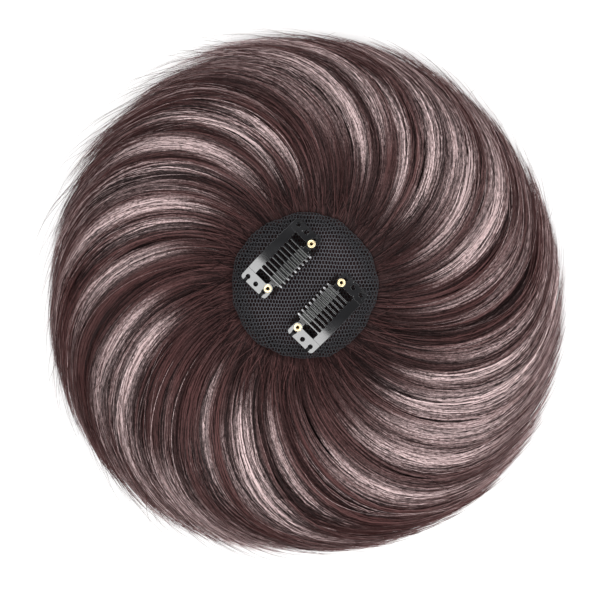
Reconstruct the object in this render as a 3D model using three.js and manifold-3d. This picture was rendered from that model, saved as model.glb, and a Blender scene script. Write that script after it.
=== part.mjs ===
// Clip-in hair topper lying on its hair with the clip side up.
// A round net base carries two snap clips. The hair is sewn under the base and spreads
// from its edge in a swirl of locks that turn until they run along a round outline.
// Millimetres, +Z up. The origin is on the surface it lies on, at the middle of the outline.
import * as THREE from "three";
import { mergeVertices } from "three/addons/utils/BufferGeometryUtils.js";
import Module from "manifold-3d";

const wasm = await Module();
wasm.setup();

// Hair
const HAIR_RADIUS = 100.5; // outline of the spread hair
const SWIRL_SHARE = 0.47; // radius of a lock's arc as a share of the outline's radius
const CREST_RADIUS = 66; // where the hair stands highest
const CREST_HEIGHT = 18.5;
const RIM_HEIGHT = 3.2; // middle of the hair's edge above the surface
const LOCK_COUNT = 28;
const LOCK_STEPS = 9;
const LOCK_SIDES = 6;
const LOCK_PROUD = 1.7; // how far the locks stand out of the mass behind them
const LOCK_FOOT = 0.4; // underside of a lock above the surface
const LOCK_ROOT_RADIUS = 27.5; // where a lock starts, under the edge of the base
const LOCK_TURN_END = THREE.MathUtils.degToRad(176); // arc angle at a lock's tip
const MASS_SEGMENTS = 32;
const FOOT_RADIUS = 93; // flat round patch that the hair rests on
const FALL_SHARES = [0.93, 0.85, 0.72, 0.55, 0.32, 0]; // of the way from the crest to the outline
const CLIMB_SHARES = [0.8, 0.55, 0.33, 0.13]; // of the way from the base to the crest

// Round net base
const BASE_RADIUS = 28.5;
const BASE_OFFSET = new THREE.Vector2(-0.6, 2.6); // from the middle of the hair's outline
const BASE_RISE = 4.2; // height of the dome over its edge
const BASE_EDGE_HEIGHT = 11.6; // underside of the edge
const NET_THICKNESS = 1;
const HEM_WIDTH = 5.5; // net folded under along the edge
const HEM_THICKNESS = 0.9;
const BASE_SEGMENTS = 36;

// Snap clip, in its own frame: x along the clip, y from the spine to the tips, z off the net
const CLIP_LENGTH = 32;
const CLIP_TURN = THREE.MathUtils.degToRad(45.6); // of the clip's length from +X
const CLIP_REACH = 13.8; // middle of a clip from the middle of the base
const CLIP_SHIFT = -1.3; // of a clip along its own length
const SPINE_EDGE = -6.6;
const SPINE_WIDTH = 4.1;
const PLATE_THICKNESS = 0.55;
const PLATE_BOW = 54; // radius that the spine is bowed to
const TOOTH_COUNT = 9;
const TOOTH_PITCH = 2;
const TOOTH_WIDTH = 0.8;
const TOOTH_TIP = 8.6;
const SLOT_CHAMFER = 0.35;
const END_PLATE_WIDTH = 4.9;
const END_PLATE_EDGE = 6.65;
const SEW_HOLE_RADIUS = 0.95;
const SEW_HOLE_INSET = 2; // from the end of the clip
const SEW_SLIT = 1.3;
const RIVET_X = 11.9;
const RIVET_Y = 4.7;
const RIVET_FLANGE = 1.45;
const RIVET_SHANK = 0.7;
const RIVET_BORE = 0.5;
const RIVET_HOLE = 0.95;
const RIVET_FLANGE_THICKNESS = 0.28;
const BAR_WIDTH = 4.7;
const BAR_NECK = 2.6;
const BAR_HALF_LENGTH = 8.9;
const BAR_THICKNESS = 0.45;
const LUG_RADIUS = 1.9;
const GRIP_THICKNESS = 0.5;
const GRIP_RIBS = 17;
const RIB_DEPTH = 0.18;
const SEAT_GAP = 0.3; // between parts that only lie on each other
const CLOSE_GAP = 0.14; // between parts that are riveted together
const ARC_STEP = Math.PI / 6;
const BOW_SAG = 0.07; // how far a bowed plate's straight steps may lie off its arch
const SNAP = 1e-3; // corners this near a cut lie on it

// The dome's outer face is part of a sphere
const DOME_RADIUS = (BASE_RADIUS ** 2 + BASE_RISE ** 2) / (2 * BASE_RISE);
const DOME_CENTRE = BASE_EDGE_HEIGHT + NET_THICKNESS + BASE_RISE - DOME_RADIUS;

// Heights over the net at the middle of a clip; the plate is bowed more than the bar and the grip
const BAR_HEIGHT = SEAT_GAP + RIVET_FLANGE_THICKNESS;
const GRIP_HEIGHT = BAR_HEIGHT + BAR_THICKNESS + CLOSE_GAP;
const GRIP_HALF_LENGTH = BAR_HALF_LENGTH - 0.7;
const BOW_ROOM = (GRIP_HALF_LENGTH ** 2 / 2) * (1 / PLATE_BOW - 1 / DOME_RADIUS);
const PLATE_HEIGHT = GRIP_HEIGHT + GRIP_THICKNESS + CLOSE_GAP + BOW_ROOM;

// A lock along its arc, from root to tip: half width, fall from its ridge to its sides, depth of its ridge
const LOCK_SECTIONS = [
  { along: 0.0, width: 3.0, drop: 0.6, sink: 0.7 },
  { along: 0.1, width: 3.8, drop: 1.0, sink: 0.2 },
  { along: 0.45, width: 6.6, drop: 1.8, sink: 0 },
  { along: 0.7, width: 6.8, drop: 2.0, sink: 0 },
  { along: 0.86, width: 4.6, drop: 1.7, sink: 0 },
  { along: 0.96, width: 2.5, drop: 1.2, sink: 0.2 },
  { along: 1.0, width: 0.6, drop: 0.5, sink: 0.5 },
];

// How neighbouring locks differ: share of the width, rise, reach past the outline, turn in degrees
const LOCK_KINDS = [
  { wide: 1.05, rise: 0.3, reach: 0.2, turn: 0.0 },
  { wide: 0.75, rise: -0.6, reach: -1.0, turn: 2.2 },
  { wide: 1.25, rise: 0.6, reach: 0.4, turn: -1.2 },
  { wide: 0.85, rise: -0.2, reach: -0.3, turn: 1.0 },
  { wide: 1.15, rise: 0.5, reach: 0.5, turn: -2.4 },
  { wide: 0.7, rise: -0.7, reach: -1.2, turn: 2.0 },
  { wide: 1.2, rise: 0.1, reach: 0.1, turn: -0.8 },
];

const materials = {
  hair: new THREE.MeshStandardMaterial({ color: 0x3a2828, roughness: 0.5 }),
  net: new THREE.MeshStandardMaterial({ color: 0x26272b, roughness: 0.85 }),
  steel: new THREE.MeshStandardMaterial({ color: 0x141416, roughness: 0.22, metalness: 0.3 }),
  rubber: new THREE.MeshStandardMaterial({ color: 0x3c3d3e, roughness: 0.6 }),
  brass: new THREE.MeshStandardMaterial({ color: 0xe6cf8c, roughness: 0.25, metalness: 1 }),
};

// Closed solids for joining, and back again
function solidOf(geometry) {
  const bare = geometry.clone();
  bare.deleteAttribute("normal");
  bare.deleteAttribute("uv");
  const welded = mergeVertices(bare, 1e-4);
  return new wasm.Manifold(
    new wasm.Mesh({
      numProp: 3,
      vertProperties: new Float32Array(welded.attributes.position.array),
      triVerts: new Uint32Array(welded.index.array),
    }),
  );
}

function geometryOf(solid) {
  const mesh = solid.getMesh();
  const geometry = new THREE.BufferGeometry();
  geometry.setAttribute("position", new THREE.BufferAttribute(mesh.vertProperties, 3));
  geometry.setIndex(new THREE.BufferAttribute(mesh.triVerts, 1));
  geometry.computeVertexNormals();
  return geometry;
}

// Moves every corner of a geometry to where place puts it
function reshape(geometry, place) {
  const corners = geometry.attributes.position;
  const corner = new THREE.Vector3();
  for (let i = 0; i < corners.count; i++) {
    corner.fromBufferAttribute(corners, i);
    const moved = place(corner);
    corners.setXYZ(i, moved.x, moved.y, moved.z);
  }
  geometry.computeVertexNormals();
  return geometry;
}

// Value of a column of the section table at a share of the length
function sectionAt(column, along) {
  const last = LOCK_SECTIONS.length - 1;
  const next = Math.min(Math.max(LOCK_SECTIONS.findIndex((row) => row.along > along), 1), last);
  const upper = along >= 1 ? last : next;
  const from = LOCK_SECTIONS[upper - 1];
  const to = LOCK_SECTIONS[upper];
  const share = (along - from.along) / (to.along - from.along);
  return THREE.MathUtils.lerp(from[column], to[column], share);
}

// Underside of the net at a distance from the middle of the base
function domeUnderside(radius) {
  const inner = DOME_RADIUS - NET_THICKNESS;
  return DOME_CENTRE + Math.sqrt(inner ** 2 - radius ** 2);
}

// Height of the hair's outer face: under the net, then up to the crest, then an elliptic fall to the rim
function hairHeight(radius) {
  const edgeHeight = domeUnderside(BASE_RADIUS) - HEM_THICKNESS - SEAT_GAP;
  if (radius <= BASE_RADIUS) return edgeHeight;
  if (radius < CREST_RADIUS) {
    const climb = (radius - BASE_RADIUS) / (CREST_RADIUS - BASE_RADIUS);
    return edgeHeight + (CREST_HEIGHT - edgeHeight) * Math.sin((climb * Math.PI) / 2);
  }
  const fall = Math.min((radius - CREST_RADIUS) / (HAIR_RADIUS - CREST_RADIUS), 1);
  return RIM_HEIGHT + (CREST_HEIGHT - RIM_HEIGHT) * Math.sqrt(1 - fall ** 2);
}

// The base sits off the middle of the outline, so the hair drifts back to the middle as it spreads
function drift(radius) {
  const spread = THREE.MathUtils.smoothstep(radius, BASE_RADIUS, HAIR_RADIUS);
  return BASE_OFFSET.clone().multiplyScalar(1 - spread);
}

// Solid mass behind the locks: a turned mound, hollowed for the base and flat where it rests
function hairMass() {
  const seat = domeUnderside(BASE_RADIUS) - HEM_THICKNESS - SEAT_GAP;
  const profile = [
    new THREE.Vector2(0, 0),
    new THREE.Vector2(FOOT_RADIUS, 0),
    new THREE.Vector2(HAIR_RADIUS - 3.5, RIM_HEIGHT * 0.6),
  ];
  const outward = FALL_SHARES.map((share) => THREE.MathUtils.lerp(CREST_RADIUS, HAIR_RADIUS, share));
  const inward = CLIMB_SHARES.map((share) => THREE.MathUtils.lerp(BASE_RADIUS, CREST_RADIUS, share));
  for (const radius of [...outward, ...inward]) {
    profile.push(new THREE.Vector2(radius, hairHeight(radius) - LOCK_PROUD));
  }
  profile.push(new THREE.Vector2(BASE_RADIUS, seat - 0.4));
  profile.push(new THREE.Vector2(BASE_RADIUS - HEM_WIDTH - 1, seat));
  profile.push(new THREE.Vector2(BASE_RADIUS - HEM_WIDTH - 1.5, domeUnderside(21.5) - SEAT_GAP));
  profile.push(new THREE.Vector2(11, domeUnderside(11) - SEAT_GAP));
  profile.push(new THREE.Vector2(0, domeUnderside(0) - SEAT_GAP));
  const mass = new THREE.LatheGeometry(profile, MASS_SEGMENTS).rotateX(Math.PI / 2);
  return reshape(mass, (corner) => {
    const shift = drift(Math.hypot(corner.x, corner.y));
    return new THREE.Vector3(corner.x + shift.x, corner.y + shift.y, corner.z);
  });
}

// Point of a lock's middle line in plan: a round arc that meets the outline along its tangent
function lockPlan(along, kind) {
  const outline = HAIR_RADIUS + kind.reach;
  const arc = SWIRL_SHARE * outline;
  const hub = outline - arc;
  const rootCosine = (hub ** 2 + arc ** 2 - LOCK_ROOT_RADIUS ** 2) / (2 * hub * arc);
  const turned = THREE.MathUtils.lerp(Math.acos(rootCosine), LOCK_TURN_END, along);
  return new THREE.Vector2(hub - arc * Math.cos(turned), -arc * Math.sin(turned));
}

// One lock: a six-sided bar laid along the arc, its ridge and sides on the mound, its foot low in the mass
function lock(kind, heading) {
  const bar = new THREE.CylinderGeometry(1, 1, 1, LOCK_SIDES, LOCK_STEPS);
  const widest = Math.sin(Math.PI / 3);
  const step = 0.01;
  return reshape(bar, (corner) => {
    const along = corner.y + 0.5;
    const ahead = lockPlan(along + step, kind).sub(lockPlan(along - step, kind)).normalize();
    const aside = new THREE.Vector2(ahead.y, -ahead.x);
    const across = (corner.x / widest) * kind.wide * sectionAt("width", along);
    const plan = lockPlan(along, kind).addScaledVector(aside, across);
    const radius = plan.length();
    const fall = corner.z > 0.9 ? 0 : sectionAt("drop", along);
    const ridge = hairHeight(radius) - sectionAt("sink", along) + kind.rise * Math.sin(Math.PI * along);
    const height = corner.z > 0 ? Math.max(ridge - fall, LOCK_FOOT + 0.6) : LOCK_FOOT;
    plan.rotateAround(new THREE.Vector2(), heading).add(drift(radius));
    return new THREE.Vector3(plan.x, plan.y, height);
  });
}

function hair() {
  let joined = solidOf(hairMass());
  for (let i = 0; i < LOCK_COUNT; i++) {
    const kind = LOCK_KINDS[i % LOCK_KINDS.length];
    const heading = (i / LOCK_COUNT) * 2 * Math.PI + THREE.MathUtils.degToRad(kind.turn);
    joined = joined.add(solidOf(lock(kind, heading)));
  }
  return geometryOf(joined);
}

// Domed net whose edge is folded under into a hem, as one closed turned profile
function netBase() {
  const outer = (radius) => DOME_CENTRE + Math.sqrt(DOME_RADIUS ** 2 - radius ** 2);
  const foldStart = BASE_RADIUS - HEM_WIDTH;
  const hemUnderside = domeUnderside(BASE_RADIUS) - HEM_THICKNESS;
  const profile = [
    new THREE.Vector2(0, domeUnderside(0)),
    new THREE.Vector2(10, domeUnderside(10)),
    new THREE.Vector2(foldStart - 0.6, domeUnderside(foldStart - 0.6)),
    new THREE.Vector2(foldStart, hemUnderside + 0.35),
    new THREE.Vector2(BASE_RADIUS - 1, hemUnderside),
    new THREE.Vector2(BASE_RADIUS, hemUnderside + 0.7),
    new THREE.Vector2(BASE_RADIUS - 0.3, outer(BASE_RADIUS) - 0.5),
    new THREE.Vector2(BASE_RADIUS - 1.4, outer(BASE_RADIUS - 1.4)),
    new THREE.Vector2(21, outer(21)),
    new THREE.Vector2(14, outer(14)),
    new THREE.Vector2(7, outer(7)),
    new THREE.Vector2(0, outer(0)),
  ];
  const net = new THREE.LatheGeometry(profile, BASE_SEGMENTS).rotateX(Math.PI / 2);
  return net.translate(BASE_OFFSET.x, BASE_OFFSET.y, 0);
}

// Corners of a round stretch of an outline, from one angle to another
function arcPoints(x, y, radius, from, to) {
  const steps = Math.max(2, Math.ceil(Math.abs(to - from) / ARC_STEP));
  return Array.from({ length: steps + 1 }, (unused, i) => {
    const angle = THREE.MathUtils.lerp(from, to, i / steps);
    return new THREE.Vector2(x + radius * Math.cos(angle), y + radius * Math.sin(angle));
  });
}

// Part of a flat face on one side of a plane of constant x
function clippedAtX(face, x, side) {
  const depth = (corner) => side * (corner.x - x);
  return face.flatMap((corner, i) => {
    const next = face[(i + 1) % face.length];
    const kept = depth(corner) >= -SNAP ? [corner] : [];
    const apart = Math.min(Math.abs(depth(corner)), Math.abs(depth(next))) > SNAP;
    if (!apart || depth(corner) * depth(next) > 0) return kept;
    const [low, high] = corner.x < next.x ? [corner, next] : [next, corner];
    return [...kept, low.clone().lerp(high, (x - low.x) / (high.x - low.x))];
  });
}

// Cuts the faces of a geometry along planes of constant x and lowers each corner by a shallow arch
function bowed(geometry, bow) {
  const corners = geometry.attributes.position;
  const step = Math.sqrt(8 * BOW_SAG * bow);
  const pieces = [];
  for (let i = 0; i < corners.count; i += 3) {
    const face = [i, i + 1, i + 2].map((k) => new THREE.Vector3().fromBufferAttribute(corners, k));
    const ends = face.map((corner) => corner.x / step);
    const first = Math.floor(Math.min(...ends));
    const last = Math.max(first + 1, Math.ceil(Math.max(...ends)));
    for (let cell = first; cell < last; cell++) {
      const strip = clippedAtX(clippedAtX(face, cell * step, 1), (cell + 1) * step, -1);
      for (let k = 2; k < strip.length; k++) pieces.push(strip[0], strip[k - 1], strip[k]);
    }
  }
  return reshape(new THREE.BufferGeometry().setFromPoints(pieces), (corner) => {
    corner.z -= corner.x ** 2 / (2 * bow);
    return corner;
  });
}

// A flat outline with round holes made into a bowed plate
function plate(outline, holes, thickness, bow) {
  const shape = new THREE.Shape(outline);
  for (const hole of holes) {
    const round = arcPoints(hole.x, hole.y, hole.radius, 2 * Math.PI, 0).slice(1);
    shape.holes.push(new THREE.Path(round));
  }
  return bowed(new THREE.ExtrudeGeometry(shape, { depth: thickness, bevelEnabled: false }), bow);
}

// Spine with its row of teeth, round at the tips and chamfered at the ends of the slots
function comb() {
  const spineEnd = CLIP_LENGTH / 2 - END_PLATE_WIDTH - SEAT_GAP;
  const root = SPINE_EDGE + SPINE_WIDTH;
  const slotEnd = root - SLOT_CHAMFER;
  const halfTooth = TOOTH_WIDTH / 2;
  const lastTooth = ((TOOTH_COUNT - 1) / 2) * TOOTH_PITCH;
  const outline = [
    new THREE.Vector2(-spineEnd, slotEnd),
    new THREE.Vector2(-spineEnd, SPINE_EDGE),
    new THREE.Vector2(spineEnd, SPINE_EDGE),
    new THREE.Vector2(spineEnd, slotEnd),
  ];
  for (let i = 0; i < TOOTH_COUNT; i++) {
    const x = lastTooth - i * TOOTH_PITCH;
    outline.push(new THREE.Vector2(x + halfTooth + SLOT_CHAMFER, slotEnd));
    outline.push(new THREE.Vector2(x + halfTooth, root));
    outline.push(...arcPoints(x, TOOTH_TIP - halfTooth, halfTooth, 0, Math.PI));
    outline.push(new THREE.Vector2(x - halfTooth, root));
    outline.push(new THREE.Vector2(x - halfTooth - SLOT_CHAMFER, slotEnd));
  }
  return plate(outline, [], PLATE_THICKNESS, PLATE_BOW).translate(0, 0, PLATE_HEIGHT);
}

// Round sewing notch that opens to the end of the clip through a narrow slit
function sewNotch(y) {
  const end = CLIP_LENGTH / 2;
  const x = end - SEW_HOLE_INSET;
  const mouth = Math.asin(SEW_SLIT / 2 / SEW_HOLE_RADIUS);
  return [
    new THREE.Vector2(end, y - SEW_SLIT / 2),
    ...arcPoints(x, y, SEW_HOLE_RADIUS, -mouth, -2 * Math.PI + mouth),
    new THREE.Vector2(end, y + SEW_SLIT / 2),
  ];
}

// Plate at the clip's +x end, with two sewing notches, a sewing hole and a lug for the rivet
function endPlate() {
  const end = CLIP_LENGTH / 2;
  const inner = end - END_PLATE_WIDTH;
  const corner = 1.6;
  const lug = Math.acos((inner - RIVET_X) / LUG_RADIUS);
  const outline = [
    new THREE.Vector2(inner, SPINE_EDGE),
    ...arcPoints(end - corner, SPINE_EDGE + corner, corner, -Math.PI / 2, 0),
    ...sewNotch(-RIVET_Y + 0.5),
    ...sewNotch(RIVET_Y - 0.4),
    ...arcPoints(end - corner, END_PLATE_EDGE - corner, corner, 0, Math.PI / 2),
    ...arcPoints(RIVET_X, RIVET_Y, LUG_RADIUS, Math.PI / 2, 2 * Math.PI - lug),
  ];
  const holes = [
    { x: end - SEW_HOLE_INSET, y: 0, radius: SEW_HOLE_RADIUS },
    { x: RIVET_X, y: RIVET_Y, radius: RIVET_HOLE },
  ];
  return plate(outline, holes, PLATE_THICKNESS, PLATE_BOW).translate(0, 0, PLATE_HEIGHT);
}

// Spring bar under the teeth, with a narrow neck and a round lug at each rivet
function bar() {
  const inset = 0.02;
  const neck = BAR_NECK / 2;
  const spread = Math.asin(neck / LUG_RADIUS);
  const start = BAR_HALF_LENGTH - 1;
  const outline = [
    new THREE.Vector2(start, RIVET_Y - neck),
    ...arcPoints(RIVET_X, RIVET_Y, LUG_RADIUS, -Math.PI + spread, Math.PI - spread),
    new THREE.Vector2(start, RIVET_Y + neck),
  ];
  const hole = { x: RIVET_X, y: RIVET_Y, radius: RIVET_HOLE };
  const lug = plate(outline, [hole], BAR_THICKNESS - 2 * inset, DOME_RADIUS).translate(0, 0, inset);
  const strip = new THREE.BoxGeometry(2 * BAR_HALF_LENGTH, BAR_WIDTH, BAR_THICKNESS).toNonIndexed();
  strip.translate(0, RIVET_Y, BAR_THICKNESS / 2);
  const joined = solidOf(bowed(strip, DOME_RADIUS)).add(solidOf(lug)).add(solidOf(mirroredInX(lug)));
  return geometryOf(joined).translate(0, 0, BAR_HEIGHT);
}

// Ribbed rubber pad along the bar, the ribs in line with the teeth
function grip() {
  const half = GRIP_HALF_LENGTH;
  const pitch = (2 * half) / GRIP_RIBS;
  const profile = [new THREE.Vector2(half, 0)];
  for (let i = 0; i < GRIP_RIBS; i++) {
    const x = half - i * pitch;
    profile.push(new THREE.Vector2(x, GRIP_THICKNESS - RIB_DEPTH));
    profile.push(new THREE.Vector2(x - pitch / 2, GRIP_THICKNESS));
  }
  profile.push(new THREE.Vector2(-half, GRIP_THICKNESS - RIB_DEPTH));
  profile.push(new THREE.Vector2(-half, 0));
  const depth = BAR_WIDTH - 0.3;
  const pad = new THREE.ExtrudeGeometry(new THREE.Shape(profile), { depth, bevelEnabled: false });
  pad.rotateX(Math.PI / 2).translate(0, RIVET_Y + depth / 2, GRIP_HEIGHT);
  return bowed(pad, DOME_RADIUS);
}

// Hollow rivet through an end plate and the bar
function rivet(side) {
  const low = -RIVET_FLANGE_THICKNESS - CLOSE_GAP + BAR_HEIGHT;
  const drop = RIVET_X ** 2 / 2;
  const plateTop = PLATE_HEIGHT + PLATE_THICKNESS - drop / PLATE_BOW + drop / DOME_RADIUS;
  const high = plateTop + CLOSE_GAP + RIVET_FLANGE_THICKNESS;
  const rounded = RIVET_FLANGE_THICKNESS / 2;
  const profile = [
    new THREE.Vector2(RIVET_BORE, low),
    new THREE.Vector2(RIVET_FLANGE, low),
    new THREE.Vector2(RIVET_FLANGE, low + RIVET_FLANGE_THICKNESS),
    new THREE.Vector2(RIVET_SHANK, low + RIVET_FLANGE_THICKNESS),
    new THREE.Vector2(RIVET_SHANK, high - RIVET_FLANGE_THICKNESS),
    new THREE.Vector2(RIVET_FLANGE, high - RIVET_FLANGE_THICKNESS),
    new THREE.Vector2(RIVET_FLANGE - rounded, high),
    new THREE.Vector2(RIVET_BORE + rounded, high),
    new THREE.Vector2(RIVET_BORE, low),
  ];
  const slope = (RIVET_X / PLATE_BOW + RIVET_X / DOME_RADIUS) / 2;
  const middle = (low + high) / 2;
  const ring = new THREE.LatheGeometry(profile, 10).rotateX(Math.PI / 2).translate(0, 0, -middle);
  ring.rotateY(side * slope);
  return ring.translate(side * RIVET_X, RIVET_Y, middle - drop / DOME_RADIUS);
}

// One clip, placed on the dome by turning about the dome's centre
function clip(name, turn) {
  const part = (label, geometry, material) => {
    const mesh = new THREE.Mesh(geometry, material.clone());
    mesh.name = `${name}_${label}`;
    return mesh;
  };
  const body = new THREE.Group();
  body.position.set(CLIP_SHIFT, 0, DOME_RADIUS);
  body.add(part("comb", comb(), materials.steel));
  const near = part("near_end_plate", endPlate(), materials.steel);
  const far = part("far_end_plate", mirroredInX(endPlate()), materials.steel);
  body.add(near, far);
  body.add(part("bar", bar(), materials.steel));
  body.add(part("grip", grip(), materials.rubber));
  body.add(part("near_rivet", rivet(1), materials.brass));
  body.add(part("far_rivet", rivet(-1), materials.brass));
  const tilt = new THREE.Group();
  tilt.rotation.x = Math.asin(CLIP_REACH / DOME_RADIUS);
  tilt.add(body);
  const around = new THREE.Group();
  around.position.set(BASE_OFFSET.x, BASE_OFFSET.y, DOME_CENTRE);
  around.rotation.z = turn;
  around.add(tilt);
  return around;
}

// The same piece on the other end, with its faces turned to point out again
function mirroredInX(geometry) {
  const flipped = geometry.clone().scale(-1, 1, 1);
  const corners = flipped.attributes.position;
  for (let i = 0; i < corners.count; i += 3) {
    const [x, y, z] = [corners.getX(i), corners.getY(i), corners.getZ(i)];
    corners.setXYZ(i, corners.getX(i + 1), corners.getY(i + 1), corners.getZ(i + 1));
    corners.setXYZ(i + 1, x, y, z);
  }
  flipped.computeVertexNormals();
  return flipped;
}

const topper = new THREE.Group();
const hairMesh = new THREE.Mesh(hair(), materials.hair);
hairMesh.name = "hair";
const baseMesh = new THREE.Mesh(netBase(), materials.net);
baseMesh.name = "base_net";
topper.add(hairMesh, baseMesh);
topper.add(clip("left_clip", Math.PI + CLIP_TURN), clip("right_clip", CLIP_TURN));

export default topper;
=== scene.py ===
"""Clip-in hair topper lying clip side up: a swirl of dark hair under a round net base with two snap clips."""

import math

import bpy
import numpy as np
from bpy.props import FloatProperty, FloatVectorProperty, IntProperty, PointerProperty
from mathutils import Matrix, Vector
from mathutils.geometry import delaunay_2d_cdt


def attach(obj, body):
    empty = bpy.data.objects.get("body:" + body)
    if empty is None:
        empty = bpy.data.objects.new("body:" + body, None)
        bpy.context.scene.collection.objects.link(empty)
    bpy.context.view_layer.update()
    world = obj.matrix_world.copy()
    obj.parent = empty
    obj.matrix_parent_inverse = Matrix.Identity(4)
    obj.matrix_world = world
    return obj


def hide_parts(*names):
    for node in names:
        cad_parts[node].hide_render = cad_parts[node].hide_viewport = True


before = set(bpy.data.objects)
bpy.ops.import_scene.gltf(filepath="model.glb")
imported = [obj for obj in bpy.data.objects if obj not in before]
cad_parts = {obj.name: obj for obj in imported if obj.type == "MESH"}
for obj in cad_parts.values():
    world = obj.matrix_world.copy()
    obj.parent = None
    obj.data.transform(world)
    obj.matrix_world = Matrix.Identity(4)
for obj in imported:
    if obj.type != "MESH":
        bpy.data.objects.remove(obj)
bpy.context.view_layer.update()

bl_info = {
    "name": "Hair topper dressing",
    "version": (1, 0, 0),
    "blender": (4, 5, 0),
    "location": "3D View > Sidebar > Hair topper",
    "description": "Dresses the packed hair topper with strands, net, clips and a studio stage",
    "category": "Object",
}

MM = 0.001

# Sizes that the part's source fixes, in metres
BASE_OFFSET = np.array([-0.6, 2.6]) * MM  # middle of the base from the middle of the hair's outline
BASE_RADIUS = 28.5 * MM
BASE_RISE = 4.2 * MM
BASE_TOP = 16.8 * MM
HAIR_SEAT = 10.4 * MM  # top of the hair along the edge of the base
DOME_RADIUS = (BASE_RADIUS**2 + BASE_RISE**2) / (2 * BASE_RISE)
DOME_CENTRE = BASE_TOP - DOME_RADIUS

# Snap clip, in its own frame: x along the clip, y from the spine to the tips, z off the net
CLIP_LENGTH = 32 * MM
CLIP_TURN = math.radians(45.6)
CLIP_REACH = 13.8 * MM
CLIP_SHIFT = -1.3 * MM
SPINE_EDGE = -6.6 * MM
SPINE_WIDTH = 4.1 * MM
PLATE_THICKNESS = 0.55 * MM
PLATE_BOW = 54 * MM
TOOTH_COUNT = 9
TOOTH_PITCH = 2 * MM
TOOTH_WIDTH = 0.8 * MM
TOOTH_TIP = 8.6 * MM
SLOT_ROUND = 0.35 * MM
END_PLATE_WIDTH = 4.9 * MM
END_PLATE_EDGE = 6.65 * MM
END_PLATE_CORNER = 1.3 * MM
SEW_HOLE_RADIUS = 0.95 * MM
SEW_HOLE_INSET = 2 * MM
SEW_SLIT = 1.3 * MM
RIVET_X = 11.9 * MM
RIVET_Y = 4.7 * MM
RIVET_FLANGE = 1.62 * MM
RIVET_SHANK = 0.74 * MM
RIVET_BORE = 0.69 * MM
RIVET_HOLE = 0.79 * MM
RIVET_FLANGE_THICKNESS = 0.28 * MM
BAR_WIDTH = 4.7 * MM
BAR_NECK = 2.6 * MM
BAR_HALF_LENGTH = 8.9 * MM
BAR_THICKNESS = 0.45 * MM
LUG_RADIUS = 1.9 * MM
GRIP_THICKNESS = 0.5 * MM
GRIP_HALF_LENGTH = 8.2 * MM
GRIP_RIBS = 17
RIB_DEPTH = 0.18 * MM
CLOSE_GAP = 0.14 * MM
BAR_HEIGHT = 0.58 * MM
GRIP_HEIGHT = BAR_HEIGHT + BAR_THICKNESS + CLOSE_GAP
BOW_ROOM = (GRIP_HALF_LENGTH**2 / 2) * (1 / PLATE_BOW - 1 / DOME_RADIUS)
PLATE_HEIGHT = GRIP_HEIGHT + GRIP_THICKNESS + CLOSE_GAP + BOW_ROOM
SEAM = 0.02 * MM  # hairline between the comb and an end plate
PLATE_BEVEL = 0.04 * MM
TOOTH_ROUND = 0.24 * MM
FILL_STEP = 1 * MM  # grid of a plate's flat faces
NOTCHES = (-RIVET_Y + 0.5 * MM, RIVET_Y - 0.4 * MM)  # sewing notches across an end plate
STITCH_TURNS = 4
CLIPS = {"left": math.pi + CLIP_TURN, "right": CLIP_TURN}

# Hair and net
STRAND_SECTION = np.array([[0.5, 0.0], [-0.5, 0.0], [0.0, -0.6]])  # in widths: flat top over a keel
STEEPEST_SLOPE = 1.6
STRAY_STEPS = 24
ROOT_COUNT = 900
ROOT_STEPS = 9
MASS_SINK = 2.7 * MM  # hair mass under the strands
NET_ROOM = 2.1 * MM  # hair mass under the net
HEM_RADIUS = 0.75 * MM

# Camera over the hair's middle as the photograph frames it, and the level that fills the frame width
CAMERA_PLACE = (-2.33 * MM, -2.91 * MM)
HAIR_LEVEL = 12 * MM

# How far strands lean from straight outward, by share of the outline's radius
SWIRL = {
    "share": [0.26, 0.38, 0.46, 0.54, 0.61, 0.69, 0.77, 0.80, 0.84, 0.88, 0.92, 0.96, 1.0],
    "lean_deg": [8, 13, 19, 25, 31, 38.5, 46.5, 50, 56.5, 64.5, 73, 79.5, 83],
}

# Outline of the spread hair by azimuth: its share of the radius, and how far its ends thin out
OUTLINE = {
    "azimuth_deg": [
        0, 20, 45, 60, 75, 90, 110, 120, 135, 155, 180, 210, 228, 240, 250, 270, 300, 315, 330, 345, 360,
    ],
    "share": [
        1.008, 0.996, 1.002, 1.012, 1.014, 1.01, 1.024, 1.028, 1.012, 1.024, 1.006, 1.03, 1.05, 1.048,
        1.046, 1.014, 1.044, 1.06, 1.046, 1.026, 1.008,
    ],
    "thin_mm": [2, 2, 5, 10, 6, 3, 10, 9, 6, 10, 5, 3, 3, 7, 2, 3, 4, 2, 3, 2, 2],
}

# How neighbouring locks differ
LOCK_KINDS = {
    "wide": [1.05, 0.75, 1.25, 0.85, 1.15, 0.7, 1.2],
    "rise_mm": [0.3, -0.6, 0.6, -0.2, 0.5, -0.7, 0.1],
    "reach_mm": [0.1, -0.6, 0.3, -0.2, 0.4, -0.7, 0.1],
    "turn_deg": [0.0, 2.2, -1.2, 1.0, -2.4, 2.0, -0.8],
}

# A lock along its length: fall from its ridge to its sides, and how far its strands draw together
LOCK_SECTION = {
    "along": [0.0, 0.12, 0.45, 0.7, 0.86, 1.0],
    "drop_mm": [0.5, 0.9, 1.9, 2.1, 1.7, 0.9],
    "spread": [1.15, 1.1, 1.05, 1.0, 0.98, 0.95],
}

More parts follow.
